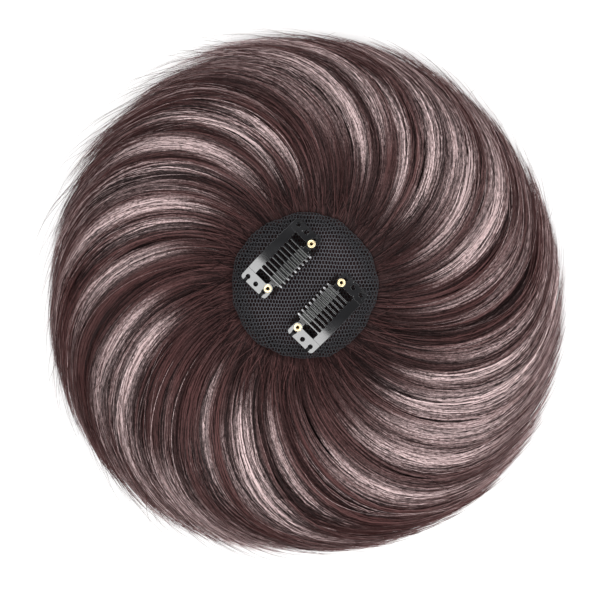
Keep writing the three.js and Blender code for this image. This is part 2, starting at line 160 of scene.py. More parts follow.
# Main streaks of painted sheen on the hair, read one by one: heading at the base, drift outward, half width,
# strength, reach outward
PAINTED_SHEEN_STREAKS = {
    "heading_deg": [
        7, 17, 25, 27, 37, 45, 53, 66, 87, 98, 110, 118, 133, 142, 154, 173, 183, 196, 217, 234, 247,
        264, 277, 288, 290, 300, 311, 342, 356,
    ],
    "drift_deg": [
        4, 2, 0, -2, 0, 0, 5, 3, 3, -5, -5, 0, 0, 0, -2, -2, 0, 0, 0, -4, -4, 0, 3, 2, 0, 2, 1, 0, 0,
    ],
    "half_deg": [
        3, 5, 35, 3, 2, 3, 3, 8, 2, 2, 3, 2, 3, 3, 3, 4, 4, 10, 2, 5, 3, 4, 2, 3, 25, 4, 2, 2, 4,
    ],
    "strength": [
        0.9, 0.3, 0.1, 0.7, 0.8, 0.5, 0.7, 0.3, 0.9, 0.9, 0.9, 0.4, 0.9, 0.5, 0.7, 0.7, 0.9, 0.7, 0.6,
        0.9, 0.5, 0.5, 0.6, 0.5, 0.2, 0.9, 0.9, 0.4, 0.9,
    ],
    "start": [
        0.4, 0.4, 0.45, 0.4, 0.4, 0.6, 0.45, 0.5, 0.35, 0.35, 0.35, 0.5, 0.4, 0.4, 0.45, 0.5, 0.45, 0.8,
        0.4, 0.4, 0.4, 0.55, 0.5, 0.45, 0.5, 0.4, 0.45, 0.4, 0.45,
    ],
    "stop": [
        0.95, 1.2, 1.2, 1.0, 0.9, 1.2, 1.1, 1.2, 0.85, 1.0, 1.05, 0.95, 1.0, 0.85, 0.95, 1.1, 1.0, 1.2,
        0.95, 1.0, 0.95, 1.1, 1.0, 1.1, 1.2, 1.1, 1.0, 0.95, 1.05,
    ],
}

# Finer streaks of painted sheen, strewn at random between these limits
FINE_STREAK_COUNT = 70
FINE_STREAKS = {
    "heading_deg": (0, 360),
    "drift_deg": (-5, 5),
    "half_deg": (0.6, 1.8),
    "strength": (0.1, 0.3),
    "start": (0.34, 0.6),
    "stop": (0.85, 1.2),
}

# Faint painted sheen all round, at the roots and at the tips
ROOT_AND_TIP_SHEEN = {
    "heading_deg": [0, 0],
    "drift_deg": [0, 0],
    "half_deg": [400, 400],
    "strength": [0.08, 0.3],
    "start": [0.25, 0.9],
    "stop": [0.6, 1.15],
}

# Loose strands: where they lie, how many, and how far their ends leave the outline
STRAYS = {
    "from_deg": [0, 115, 95, 250, 20, 195],
    "to_deg": [360, 185, 150, 300, 80, 245],
    "count": [220, 60, 20, 20, 20, 40],
    "reach_mm": [3.0, 9.0, 6.5, 5.0, 4.5, 6.0],
}

# Uneven pull of the flat net: waves across it and how far each pulls
NET_PULL = {
    "wave_x": [210, -170, 90, 420],
    "wave_y": [130, 260, -310, 180],
    "phase": [0.3, 1.9, 4.1, 2.6],
    "pull_x_mm": [0.16, 0.12, -0.1, 0.07],
    "pull_y_mm": [0.1, -0.14, 0.13, 0.06],
}

# Studio lights, each aimed at the middle of the base
LIGHTS = {
    "name": ["key", "right", "far", "near"],
    "azimuth_deg": [225, 10, 105, 310],
    "from_vertical_deg": [30, 62, 60, 62],
    "distance": [1.0, 1.0, 1.0, 1.0],
    "width": [0.95, 0.9, 0.9, 0.8],
    "depth": [0.6, 0.5, 0.5, 0.5],
    "share": [1.0, 0.8, 0.9, 0.7],
}


class HairSettings(bpy.types.PropertyGroup):
    """Sizes and colours of the spread hair."""

    outline_radius: FloatProperty(
        name="Outline radius", description="Radius of the round outline", default=0.1005, unit="LENGTH"
    )
    crest_radius: FloatProperty(
        name="Crest radius", description="Where the hair stands highest", default=0.066, unit="LENGTH"
    )
    crest_height: FloatProperty(
        name="Crest height", description="Height of the hair there", default=0.0185, unit="LENGTH"
    )
    rim_height: FloatProperty(
        name="Rim height", description="Height of the hair at its outline", default=0.0032, unit="LENGTH"
    )
    lock_count: IntProperty(name="Locks", description="Number of locks in the swirl", default=28, min=8)
    strands_per_lock: IntProperty(
        name="Strands per lock", description="Modelled strands in one lock", default=256, min=20
    )
    strands_per_wisp: IntProperty(
        name="Strands per wisp", description="Strands that lie together", default=4, min=1
    )
    strand_steps: IntProperty(
        name="Strand steps", description="Straight steps along a strand", default=15, min=6
    )
    strand_width: FloatProperty(
        name="Strand width", description="Width of a modelled strand", default=0.00034, unit="LENGTH"
    )
    # Dark brown is painted shade at the roots, in the depths and in the hair mass, and the dark end of each
    # strand's random tone
    dark: FloatVectorProperty(
        name="Dark brown", description="Hair in its depths", subtype="COLOR", default=(0.0095, 0.0050, 0.0050)
    )
    brown: FloatVectorProperty(
        name="Brown", description="Hair along its lengths", subtype="COLOR", default=(0.087, 0.0388, 0.0374)
    )
    rim: FloatVectorProperty(
        name="Rim brown", description="Thin ends at the rim", subtype="COLOR", default=(0.076, 0.025, 0.0235)
    )
    # Colour of the painted sheen: a light greyish brown that stands in for the highlight on the hair's crest
    painted_sheen: FloatVectorProperty(
        name="Painted sheen", description="Strands in painted sheen", subtype="COLOR", default=(0.585, 0.445, 0.44)
    )


class NetSettings(bpy.types.PropertyGroup):
    """Sizes and colour of the net base."""

    pitch: FloatProperty(name="Pitch", description="Holes across the net", default=0.0012, unit="LENGTH")
    row: FloatProperty(name="Row", description="Rows of holes", default=0.00147, unit="LENGTH")
    yarn: FloatProperty(name="Yarn", description="Thickness of the yarn", default=0.00029, unit="LENGTH")
    hem: FloatProperty(name="Hem", description="Net folded under the edge", default=0.0048, unit="LENGTH")
    colour: FloatVectorProperty(
        name="Yarn colour", description="Charcoal yarn", subtype="COLOR", default=(0.066, 0.066, 0.075)
    )


class ClipSettings(bpy.types.PropertyGroup):
    """Colours and thread of the snap clips."""

    lacquer: FloatVectorProperty(
        name="Lacquer", description="Black lacquer", subtype="COLOR", default=(0.004, 0.004, 0.0048)
    )
    brass: FloatVectorProperty(
        name="Brass", description="Hollow rivets", subtype="COLOR", default=(0.93, 0.80, 0.52)
    )
    rubber: FloatVectorProperty(
        name="Rubber", description="Ribbed pads", subtype="COLOR", default=(0.15, 0.156, 0.15)
    )
    thread: FloatVectorProperty(
        name="Thread", description="Sewing thread", subtype="COLOR", default=(0.012, 0.012, 0.013)
    )
    thread_width: FloatProperty(
        name="Thread width", description="Thickness of the sewing thread", default=0.00026, unit="LENGTH"
    )


class StageSettings(bpy.types.PropertyGroup):
    """Floor, light and camera."""

    floor: FloatVectorProperty(
        name="Floor", description="Pale floor", subtype="COLOR", default=(0.90, 0.89, 0.89)
    )
    light_power: FloatProperty(
        name="Light power", description="Watts of the key light", default=9.5, unit="POWER"
    )
    sky_strength: FloatProperty(name="Sky", description="Strength of the white surround", default=0.12)
    lens: FloatProperty(name="Lens", description="Focal length in millimetres", default=110.0)
    frame_width: FloatProperty(
        name="Frame width", description="Width of the picture at the hair", default=0.2328, unit="LENGTH"
    )


# Meshes


def build_mesh(name, points, faces, values=(), sharp_deg=None):
    """Mesh from points and arrays of faces with equal corner counts; values are point attributes."""
    mesh = bpy.data.meshes.new(name)
    corners = np.concatenate([block.reshape(-1) for block in faces]).astype(np.int32)
    counts = np.concatenate([np.full(len(block), block.shape[1]) for block in faces])
    starts = (np.cumsum(counts) - counts).astype(np.int32)
    mesh.vertices.add(points.size // 3)
    mesh.vertices.foreach_set("co", np.ascontiguousarray(points, np.float32).ravel())
    mesh.loops.add(len(corners))
    mesh.loops.foreach_set("vertex_index", corners)
    mesh.polygons.add(len(counts))
    mesh.polygons.foreach_set("loop_start", starts)
    mesh.polygons.foreach_set("use_smooth", np.ones(len(counts), bool))
    for key, data in values:
        vector = data.ndim > 1 and data.shape[-1] == 3
        layer = mesh.attributes.new(key, "FLOAT_VECTOR" if vector else "FLOAT", "POINT")
        layer.data.foreach_set("vector" if vector else "value", data.astype(np.float32).ravel())
    mesh.update(calc_edges=True)
    if mesh.validate():
        raise RuntimeError(f"{name}: the mesh had faults")
    if sharp_deg is not None:
        mesh.set_sharp_from_angle(angle=math.radians(sharp_deg))
    return mesh


def show_piece(mesh, material, body="topper", nodes=()):
    """Puts a mesh into the scene as a piece with its finish, its body and the nodes that it stands for."""
    piece = bpy.data.objects.new(mesh.name, mesh)
    bpy.context.scene.collection.objects.link(piece)
    mesh.materials.append(material)
    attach(piece, body)
    if nodes:
        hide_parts(*nodes)
    return piece


def unit(vectors):
    """Vectors scaled to length one along the last axis."""
    return vectors / np.maximum(np.linalg.norm(vectors, axis=-1, keepdims=True), 1e-12)


def swept(paths, aside, up, width, section):
    """A closed section carried along many paths at once.

    Point = path + width * (section x * aside + section y * up); the ends are closed by the section itself.
    """
    lines, steps, _ = paths.shape
    sides = len(section)
    offset = section[:, 0, None] * aside[:, :, None, :] + section[:, 1, None] * up[:, :, None, :]
    points = paths[:, :, None, :] + width[:, :, None, None] * offset
    index = np.arange(lines * steps * sides).reshape(lines, steps, sides)
    ahead = np.roll(index, -1, axis=2)
    walls = np.stack([index[:, :-1], ahead[:, :-1], ahead[:, 1:], index[:, 1:]], axis=-1)
    return points.reshape(-1, 3), [walls.reshape(-1, 4), index[:, 0, ::-1], index[:, -1]]


def grid_quads(index):
    """Quads between neighbouring points of a grid of point numbers."""
    quads = np.stack([index[:-1, :-1], index[1:, :-1], index[1:, 1:], index[:-1, 1:]], axis=-1)
    return quads.reshape(-1, 4)


def turned_ring(profile, segments):
    """A closed profile of (radius, height) carried round the z axis."""
    angle = np.linspace(0, 2 * np.pi, segments, endpoint=False)[:, None]
    radius, height = profile[:, 0], profile[:, 1]
    points = np.stack([radius * np.cos(angle), radius * np.sin(angle), height + 0 * angle], axis=-1)
    index = np.arange(segments * len(profile)).reshape(segments, len(profile))
    return points.reshape(-1, 3), [grid_quads(np.pad(index, (0, 1), mode="wrap"))]


def turned_solid(profile, segments):
    """A profile that starts and ends on the z axis carried round it, with one point at each pole."""
    ring, _ = turned_ring(profile[1:-1], segments)
    index = np.arange(len(ring)).reshape(segments, -1)
    ahead = np.roll(index, -1, axis=0)
    low, high = np.full(segments, len(ring)), np.full(segments, len(ring) + 1)
    poles = np.array([[0, 0, profile[0, 1]], [0, 0, profile[-1, 1]]])
    under = np.stack([low, ahead[:, 0], index[:, 0]], axis=-1)
    over = np.stack([index[:, -1], ahead[:, -1], high], axis=-1)
    return np.concatenate([ring, poles]), [grid_quads(np.vstack([index, index[:1]])), under, over]


def arc(x, y, radius, start_deg, end_deg, steps):
    """Points of a round stretch of an outline."""
    angle = np.radians(np.linspace(start_deg, end_deg, steps + 1))
    return np.stack([x + radius * np.cos(angle), y + radius * np.sin(angle)], axis=1)


def cut_up(loop, step):
    """A closed outline with its straight stretches cut into steps no longer than step."""
    ahead = np.roll(loop, -1, axis=0)
    parts = np.maximum(1, np.ceil(np.linalg.norm(ahead - loop, axis=1) / step - 1e-9).astype(int))
    start = np.repeat(np.arange(len(loop)), parts)
    share = (np.arange(parts.sum()) - np.repeat(np.cumsum(parts) - parts, parts)) / parts[start]
    return loop[start] + (ahead[start] - loop[start]) * share[:, None]


def outward(loop):
    """Mitred outward direction at each corner of an outline that keeps the metal on its left."""
    along = unit(np.roll(loop, -1, axis=0) - loop)
    side = np.stack([along[:, 1], -along[:, 0]], axis=1)
    back = np.roll(side, 1, axis=0)
    return (side + back) / np.maximum(1 + (side * back).sum(axis=1, keepdims=True), 0.5)


def stamped_plate(loops, thickness):
    """A rounded edge profile carried along each outline, closed above and below by flat fills.

    The profile runs from a rim on the top face over a quarter round, down the edge and back under; the round
    of each corner comes from edge_round. The fills are cut at a regular grid of points, so that the plate can
    be bowed afterwards.
    """
    step = FILL_STEP
    turn = np.radians([90, 60, 30, 0])
    inward = np.concatenate([[-1.2], np.cos(turn) - 1])
    lower = np.concatenate([[0], 1 - np.sin(turn)])
    loops = [cut_up(loop, 0.6 * step) for loop in loops]
    sides = 2 * len(inward)
    points, faces, fill_edge, fill_index, start = [], [], [], [], 0
    for loop in loops:
        bevel = edge_round(loop)[:, None]
        inset = bevel * np.concatenate([inward, inward[::-1]])
        height = np.concatenate([thickness - bevel * lower, (bevel * lower)[:, ::-1]], axis=1)
        flat = loop[:, None, :] + outward(loop)[:, None, :] * inset[:, :, None]
        points.append(np.concatenate([flat, height[:, :, None]], axis=2).reshape(-1, 3))
        index = start + np.arange(len(loop) * sides).reshape(len(loop), sides)
        ahead = np.roll(index, -1, axis=0)
        walls = np.stack([index[:, :-1], index[:, 1:], ahead[:, 1:], ahead[:, :-1]], axis=-1)
        faces.append(walls.reshape(-1, 4))
        fill_edge.append(flat[:, 0])
        fill_index.append(index)
        start += len(loop) * sides
    edge = np.concatenate(fill_edge)
    low, high = edge.min(axis=0), edge.max(axis=0)
    across = [np.arange(low[i] + step / 2, high[i], step) for i in range(2)]
    inside = np.stack(np.meshgrid(*across, indexing="ij"), axis=-1).reshape(-1, 2)
    away = np.linalg.norm(inside[:, None] - edge[None], axis=2).min(axis=1)
    inside = inside[away > 0.45 * step]
    counts = np.cumsum([0] + [len(loop) for loop in fill_edge])
    rings = [list(range(a, b)) for a, b in zip(counts[:-1], counts[1:])]
    flat_points = [Vector(p) for p in np.concatenate([edge, inside]) * (1 / MM)]
    found, _, triangles, source, _, _ = delaunay_2d_cdt(flat_points, [], rings, 2, 1e-6)
    triangles = np.array(triangles)
    if any(len(source[i]) == 0 for i in np.unique(triangles)):
        raise RuntimeError("an outline crosses itself")
    first = np.array([source[i][0] if source[i] else -1 for i in range(len(found))])
    triangles = first[triangles]
    kept = np.unique(triangles[triangles >= len(edge)])
    index = np.concatenate(fill_index)
    top = np.zeros(len(edge) + len(inside), int)
    under = top.copy()
    top[: len(edge)], under[: len(edge)] = index[:, 0], index[:, -1]
    top[kept] = start + np.arange(len(kept))
    under[kept] = start + len(kept) + np.arange(len(kept))
    middle = inside[kept - len(edge)]
    points.append(np.column_stack([middle, np.full(len(middle), thickness)]))
    points.append(np.column_stack([middle, np.zeros(len(middle))]))
    faces += [top[triangles], under[triangles][:, ::-1]]
    return np.concatenate(points), faces


def edge_round(loop):
    """Edge round of the plates by place: full along the teeth, slight on the spine, end plates and bar."""
    tooth = (np.abs(loop[:, 0]) < TOOTH_COUNT * TOOTH_PITCH / 2) & (loop[:, 1] > SPINE_EDGE + SPINE_WIDTH)
    return np.where(tooth, TOOTH_ROUND, PLATE_BEVEL)


def bowed(points, bow, height):
    """Lowers points by the arch x * x / (2 * bow) and lifts them to a height over the net."""
    lowered = points.copy()
    lowered[:, 2] += height - points[:, 0] ** 2 / (2 * bow)
    return lowered


def on_base(points, turn):
    """Points of a clip's own frame put on the dome, by a tilt about its centre and a turn about z."""
    tilt = math.asin(CLIP_REACH / DOME_RADIUS)
    x, y, z = points[..., 0] + CLIP_SHIFT, points[..., 1], points[..., 2] + DOME_RADIUS
    y, z = y * math.cos(tilt) - z * math.sin(tilt), y * math.sin(tilt) + z * math.cos(tilt)
    x, y = x * math.cos(turn) - y * math.sin(turn), x * math.sin(turn) + y * math.cos(turn)
    return np.stack([x + BASE_OFFSET[0], y + BASE_OFFSET[1], z + DOME_CENTRE], axis=-1)


def mirrored(loop):
    """The same outline on the clip's other end, turned round so that the metal stays on its left."""
    return (loop * [-1, 1])[::-1]


# Finishes


def new_material(name):
    """A node material with its Principled shader, and a short way to add and link nodes."""
    material = bpy.data.materials.new(name)
    material.use_nodes = True
    tree = material.node_tree
    return material, tree, tree.nodes["Principled BSDF"]


def fill(tree, node, inputs):
    """Sets or links a node's inputs by name or number."""
    for key, value in inputs.items():
        if isinstance(value, bpy.types.NodeSocket):
            tree.links.new(value, node.inputs[key])
        else:
            node.inputs[key].default_value = value


def add(tree, kind, inputs=None, **settings):
    """Adds a node, sets its properties and fills its inputs."""
    node = tree.nodes.new(kind)
    for key, value in settings.items():
        setattr(node, key, value)
    fill(tree, node, inputs or {})
    return node


def ramp(tree, value, low, high):
    """Smooth step of a value from 0 at low to 1 at high."""
    node = add(tree, "ShaderNodeMapRange", {0: value, 1: low, 2: high}, interpolation_type="SMOOTHSTEP")
    return node.outputs[0]


def product(tree, a, b, operation="MULTIPLY"):
    """Two values multiplied, or put together by another operation."""
    return add(tree, "ShaderNodeMath", {0: a, 1: b}, operation=operation).outputs[0]


def spanned(tree, mask, low, high):
    """A mask from 0 to 1 turned into a value from low to high."""
    return add(tree, "ShaderNodeMapRange", {0: mask, 3: low, 4: high}).outputs[0]


def opaque(colour):
    """A colour with full alpha; a socket stays as it is."""
    return colour if isinstance(colour, bpy.types.NodeSocket) else (*colour[:3], 1.0)


def shade(colour, share):
    """A colour made darker or lighter by a share."""
    return [share * part for part in colour]


def mixed(tree, share, a, b):
    """Colour a turned to colour b by a share."""
    inputs = {0: share, 6: opaque(a), 7: opaque(b)}
    return add(tree, "ShaderNodeMix", inputs, data_type="RGBA").outputs[2]


def attribute(tree, name):
    """Outputs of a point attribute."""
    return add(tree, "ShaderNodeAttribute", attribute_name=name).outputs


def new_group(name, inputs, outputs):
    """An empty shader node group with named sockets; returns the tree, its inputs and its output node."""
    tree = bpy.data.node_groups.get(name)
    if tree is not None:
        return tree, None, None
    tree = bpy.data.node_groups.new(name, "ShaderNodeTree")
    for label, kind in inputs:
        tree.interface.new_socket(label, in_out="INPUT", socket_type=kind)
    for label, kind in outputs:
        tree.interface.new_socket(label, in_out="OUTPUT", socket_type=kind)
    source = tree.nodes.new("NodeGroupInput")
    return tree, source.outputs, tree.nodes.new("NodeGroupOutput")


def grain_group():
    """Fine uneven grain: a mask from noise at a scale, and a height for bump."""
    tree, source, out = new_group(
        "Fine grain",
        [("Vector", "NodeSocketVector"), ("Scale", "NodeSocketFloat"), ("Contrast", "NodeSocketFloat")],
        [("Mask", "NodeSocketFloat"), ("Height", "NodeSocketFloat")],
    )
    if source is None:
        return tree
    inputs = {"Vector": source["Vector"], "Scale": source["Scale"], "Detail": 3.0}
    noise = add(tree, "ShaderNodeTexNoise", inputs).outputs[0]
    half = product(tree, source["Contrast"], 0.5)
    low, high = product(tree, 0.5, half, "SUBTRACT"), product(tree, 0.5, half, "ADD")
    mask = add(tree, "ShaderNodeMapRange", {0: noise, 1: low, 2: high})
    fill(tree, out, {"Mask": mask.outputs[0], "Height": noise})
    return tree


def speck_group():
    """Sparse specks of dust: small round cells of a Voronoi pattern, thinned out by the cells' own values."""
    tree, source, out = new_group(
        "Dust specks",
        [("Vector", "NodeSocketVector"), ("Scale", "NodeSocketFloat"), ("Size", "NodeSocketFloat")],
        [("Mask", "NodeSocketFloat")],
    )
    if source is None:
        return tree
    cells = add(tree, "ShaderNodeTexVoronoi", {"Vector": source["Vector"], "Scale": source["Scale"]}).outputs
    near = add(tree, "ShaderNodeMapRange", {0: cells["Distance"], 1: source["Size"], 2: 0.0}).outputs[0]
    pick = ramp(tree, cells["Color"], 0.72, 0.8)
    fill(tree, out, {"Mask": product(tree, near, pick)})
    return tree


def fine_grain(tree, vector, scale, contrast):
    """Mask and height of the fine grain at a scale."""
    inputs = {"Vector": vector, "Scale": scale, "Contrast": contrast}
    return add(tree, "ShaderNodeGroup", inputs, node_tree=grain_group()).outputs


def dust_specks(tree, vector, scale, size):
    """Mask of the dust specks at a scale."""
    inputs = {"Vector": vector, "Scale": scale, "Size": size}
    return add(tree, "ShaderNodeGroup", inputs, node_tree=speck_group()).outputs["Mask"]


def object_coords(tree):
    """Object coordinates of the piece."""
    return tree.nodes.new("ShaderNodeTexCoord").outputs["Object"]


def bump(tree, shader, height, strength, distance):
    """Feeds a height to the shader's normal."""
    node = add(tree, "ShaderNodeBump", {"Strength": strength, "Distance": distance, "Height": height})
    fill(tree, shader, {"Normal": node.outputs[0]})


def hair_material(hair):
    """Brown strands with painted shade at the roots, warmer at the rim, and a light painted sheen broken
    along their length into glints.
    """
    material, tree, shader = new_material("strand_brown")
    spread, tone, painted_sheen = (attribute(tree, key)["Fac"] for key in ("spread", "tone", "painted_sheen"))
    lane = add(tree, "ShaderNodeCombineXYZ", {0: product(tree, tone, 4000.0), 1: product(tree, spread, 95.0)})
    mask = fine_grain(tree, lane.outputs[0], 1.0, 0.5)["Mask"]
    uneven = product(tree, product(tree, mask, 0.4), tone, "ADD")
    # Painted shade at the roots: dark brown near the base, brown along the lengths, and a random tone for
    # each strand
    lengths = ramp(tree, spread, 0.05, 0.55)
    colour = mixed(tree, product(tree, lengths, ramp(tree, uneven, 0.3, 1.25)), hair.dark, hair.brown)
    colour = mixed(tree, product(tree, ramp(tree, spread, 0.84, 1.0), 0.55), colour, hair.rim)
    # Painted sheen: the sheen share turns the strands light, broken along each strand into glints
    glint = product(tree, product(tree, mask, 1.5), 0.25, "ADD")
    colour = mixed(tree, ramp(tree, product(tree, painted_sheen, glint), 0.0, 0.8), colour, hair.painted_sheen)
    gloss = add(tree, "ShaderNodeMapRange", {0: uneven, 1: 0.0, 2: 1.2, 3: 0.5, 4: 0.34}).outputs[0]
    fill(tree, shader, {"Base Color": colour, "Roughness": gloss, "Specular IOR Level": 0.04, "IOR": 1.55})
    return material


def mass_material(hair):
    """Depth of the hair under the strands, painted near black as shade, with streaks that follow the swirl.
    """
    material, tree, shader = new_material("hair_depth_painted_shade")
    streak = fine_grain(tree, attribute(tree, "lay")["Vector"], 42.0, 0.45)
    # Painted shade: the hidden body of the hair is far darker than its brown strands
    colour = mixed(tree, streak["Mask"], shade(hair.dark, 0.6), shade(hair.dark, 2.2))
    rough = spanned(tree, streak["Mask"], 0.9, 0.75)
    fill(tree, shader, {"Base Color": colour, "Roughness": rough, "Specular IOR Level": 0.1})
    bump(tree, shader, streak["Height"], 0.5, 0.0006)
    return material


def yarn_material(name, colour, scale):
    """Twisted yarn: charcoal fibres with a soft sheen and uneven colour, near black with painted shade where
    the attribute dark is set.
    """
    material, tree, shader = new_material(name)
    coords = object_coords(tree)
    grain = fine_grain(tree, coords, scale, 0.5)
    broad = fine_grain(tree, coords, scale / 12, 0.4)
    tone = mixed(tree, grain["Mask"], shade(colour, 0.55), shade(colour, 1.5))
    tone = mixed(tree, product(tree, broad["Mask"], 0.35), tone, shade(colour, 0.8))
    # Painted shade and shadow: near black where the attribute dark is set, on the net's hem and under the
    # clips
    tone = mixed(tree, attribute(tree, "dark")["Fac"], tone, shade(colour, 0.12))
    rough = spanned(tree, grain["Mask"], 0.62, 0.85)
    fill(tree, shader, {"Base Color": tone, "Roughness": rough, "Specular IOR Level": 0.3})
    bump(tree, shader, grain["Height"], 0.4, 0.00008)
    return material


def lacquer_material(colour):
    """Glossy black lacquer over pressed steel: slight orange peel, rubbed patches, dust, and a painted glint
    on the tooth tips.
    """
    material, tree, shader = new_material("black_lacquer")
    coords = object_coords(tree)
    peel = fine_grain(tree, coords, 420.0, 0.6)
    rubbed = fine_grain(tree, coords, 130.0, 0.35)["Mask"]
    dust = dust_specks(tree, coords, 750.0, 0.16)
    tone = mixed(tree, product(tree, rubbed, 0.4), colour, shade(colour, 2.2))
    tone = mixed(tree, product(tree, dust, 0.8), tone, (0.42, 0.42, 0.43))
    # Painted glint on the tooth tips: light grey in specks
    tip_glint = product(tree, attribute(tree, "tip_glint")["Fac"], ramp(tree, peel["Mask"], 0.0, 0.8))
    tone = mixed(tree, tip_glint, tone, (0.4, 0.4, 0.41))
    rough = product(tree, product(tree, dust, 0.5), spanned(tree, rubbed, 0.14, 0.22), "ADD")
    fill(tree, shader, {"Base Color": tone, "Roughness": rough, "Specular IOR Level": 1.0})
    fill(tree, shader, {"Coat Weight": 0.5, "Coat Roughness": 0.12})
    bump(tree, shader, peel["Height"], 0.05, 0.0001)
    return material


def brass_material(colour):
    """Polished brass, unevenly tarnished."""
    material, tree, shader = new_material("rivet_brass")
    stain = fine_grain(tree, object_coords(tree), 900.0, 0.5)
    tarnish = [colour[0] * 0.7, colour[1] * 0.6, colour[2] * 0.45]
    tone = mixed(tree, product(tree, stain["Mask"], 0.45), colour, tarnish)
    rough = spanned(tree, stain["Mask"], 0.3, 0.42)
    fill(tree, shader, {"Base Color": tone, "Roughness": rough, "Metallic": 0.7})
    bump(tree, shader, stain["Height"], 0.04, 0.00003)
    return material


def rubber_material(colour):
    """Satin moulded rubber with painted shade between its ribs, dusty in places."""
    material, tree, shader = new_material("grip_rubber")
    coords = object_coords(tree)
    grain = fine_grain(tree, coords, 1500.0, 0.6)
    dust = dust_specks(tree, coords, 900.0, 0.2)
    tone = mixed(tree, grain["Mask"], shade(colour, 0.75), shade(colour, 1.25))
    # Painted shade: near black in the grooves between the ribs, by the crest attribute
    tone = mixed(tree, ramp(tree, attribute(tree, "crest")["Fac"], 0.9, 0.1), tone, shade(colour, 0.15))
    tone = mixed(tree, product(tree, dust, 0.6), tone, (0.4, 0.4, 0.4))
    rough = spanned(tree, grain["Mask"], 0.5, 0.66)
    fill(tree, shader, {"Base Color": tone, "Roughness": rough, "Specular IOR Level": 0.3})
    bump(tree, shader, grain["Height"], 0.15, 0.00004)
    return material


def floor_material(colour):
    """Plain pale floor with the faintest mottling."""
    material, tree, shader = new_material("studio_floor")
    mask = fine_grain(tree, object_coords(tree), 40.0, 0.8)["Mask"]
    tone = mixed(tree, mask, colour, shade(colour, 0.99))
    fill(tree, shader, {"Base Color": tone, "Roughness": 0.8, "Specular IOR Level": 0.2})
    return material


# Hair


def dome_height(radius):
    """Outer face of the net at a distance from the middle of the base: part of a sphere."""
    return DOME_CENTRE + np.sqrt(DOME_RADIUS**2 - radius**2)


def mound_height(radius, hair):
    """Outer face of the hair: level under the base, a sine climb to the crest, then an elliptic fall."""
    climb = np.clip((radius - BASE_RADIUS) / (hair.crest_radius - BASE_RADIUS), 0, 1)
    up = HAIR_SEAT + (hair.crest_height - HAIR_SEAT) * np.sin(climb * np.pi / 2)
    fall = np.clip((radius - hair.crest_radius) / (hair.outline_radius - hair.crest_radius), 0, 1)
    down = hair.rim_height + (hair.crest_height - hair.rim_height) * np.sqrt(1 - fall**2)
    return np.where(radius < hair.crest_radius, up, down)


def shared(rng, group, low, high):
    """An even random draw for each group, given to all of its members."""
    return rng.uniform(low, high, group.max() + 1)[group]


def even(rng, count, low, high):
    """An even random draw for each strand, as a column."""
    return rng.uniform(low, high, count)[:, None]


def bell(rng, count, spread):
    """A normal random draw for each strand, as a column."""
    return rng.normal(0, spread, count)[:, None]


def smooth(value, low, high):
    """Smooth step of an array from 0 at low to 1 at high."""
    share = np.clip((value - low) / (high - low), 0, 1)
    return share * share * (3 - 2 * share)


def drifted(radius, azimuth, hair):
    """Plan of a point of the hair, whose middle drifts from under the base to the middle of the outline."""
    stay = 1 - smooth(radius, BASE_RADIUS, hair.outline_radius)
    x = radius * np.cos(azimuth) + BASE_OFFSET[0] * stay
    y = radius * np.sin(azimuth) + BASE_OFFSET[1] * stay
    return x, y


def swirl_line(hair):
    """One strand's line in plan: its lean from straight outward grows with radius, summed step by step."""
    radius = np.linspace(SWIRL["share"][0], 1, 800) * hair.outline_radius
    middle = (radius[1:] + radius[:-1]) / 2
    lean = np.radians(np.interp(middle / hair.outline_radius, SWIRL["share"], SWIRL["lean_deg"]))
    step = np.diff(radius)
    run = np.concatenate([[0], np.cumsum(step / np.cos(lean))])
    turn = np.concatenate([[0], np.cumsum(step * np.tan(lean) / middle)])
    return {"run": run, "radius": radius, "turn": turn}


def shares_along(count, steps):
    """Shares of the way along each strand, a row for each."""
    return np.broadcast_to(np.linspace(0, 1, steps + 1), (count, steps + 1))


def swirl_at(line, run, column):
    """A column of the swirl's line at a length run along it."""
    return np.interp(run, line["run"], line[column])


def outline_at(azimuth, column="share"):
    """A column of the outline table at an azimuth."""
    return np.interp(np.degrees(azimuth) % 360, OUTLINE["azimuth_deg"], OUTLINE[column])


def strand_mesh(name, hair, radius, azimuth, height, width, twist, spread, tone, painted_sheen):
    """Strands as slim three-sided bars with a flat top.

    Each path is (radius, azimuth, height); the top faces along the mound's slope, turned about the strand
    by twist.
    """
    x, y = drifted(radius, azimuth, hair)
    paths = np.stack([x, y, height], axis=-1)
    ahead = unit(np.gradient(paths, axis=1))
    step = 0.5 * MM
    slope = (mound_height(radius + step, hair) - mound_height(radius - step, hair)) / (2 * step)
    slope = np.clip(slope, -STEEPEST_SLOPE, STEEPEST_SLOPE)
    normal = np.stack([-slope * np.cos(azimuth), -slope * np.sin(azimuth), np.ones_like(slope)], axis=-1)
    aside = unit(np.cross(unit(normal), ahead))
    up = np.cross(ahead, aside)
    cosine, sine = np.cos(twist)[..., None], np.sin(twist)[..., None]
    aside, up = aside * cosine + up * sine, up * cosine - aside * sine
    points, faces = swept(paths, aside, up, width, STRAND_SECTION)
    sides = len(STRAND_SECTION)
    values = [
        ("spread", np.repeat(spread, sides)),
        ("tone", np.repeat(np.broadcast_to(tone[:, None], radius.shape), sides)),
        ("painted_sheen", np.repeat(painted_sheen, sides)),
    ]
    return build_mesh(name, points, faces, values, sharp_deg=60)


def painted_sheen_streaks():
    """Rows of all streaks of painted sheen: the main ones, finer ones strewn at random, and a faint band all
    round at roots and tips.
    """
    rng = np.random.default_rng(41)
    draws = FINE_STREAKS.values()
    fine = np.stack([rng.uniform(low, high, FINE_STREAK_COUNT) for low, high in draws], axis=1)
    table = np.array(list(PAINTED_SHEEN_STREAKS.values())).T
    return np.concatenate([table, fine, np.array(list(ROOT_AND_TIP_SHEEN.values())).T])


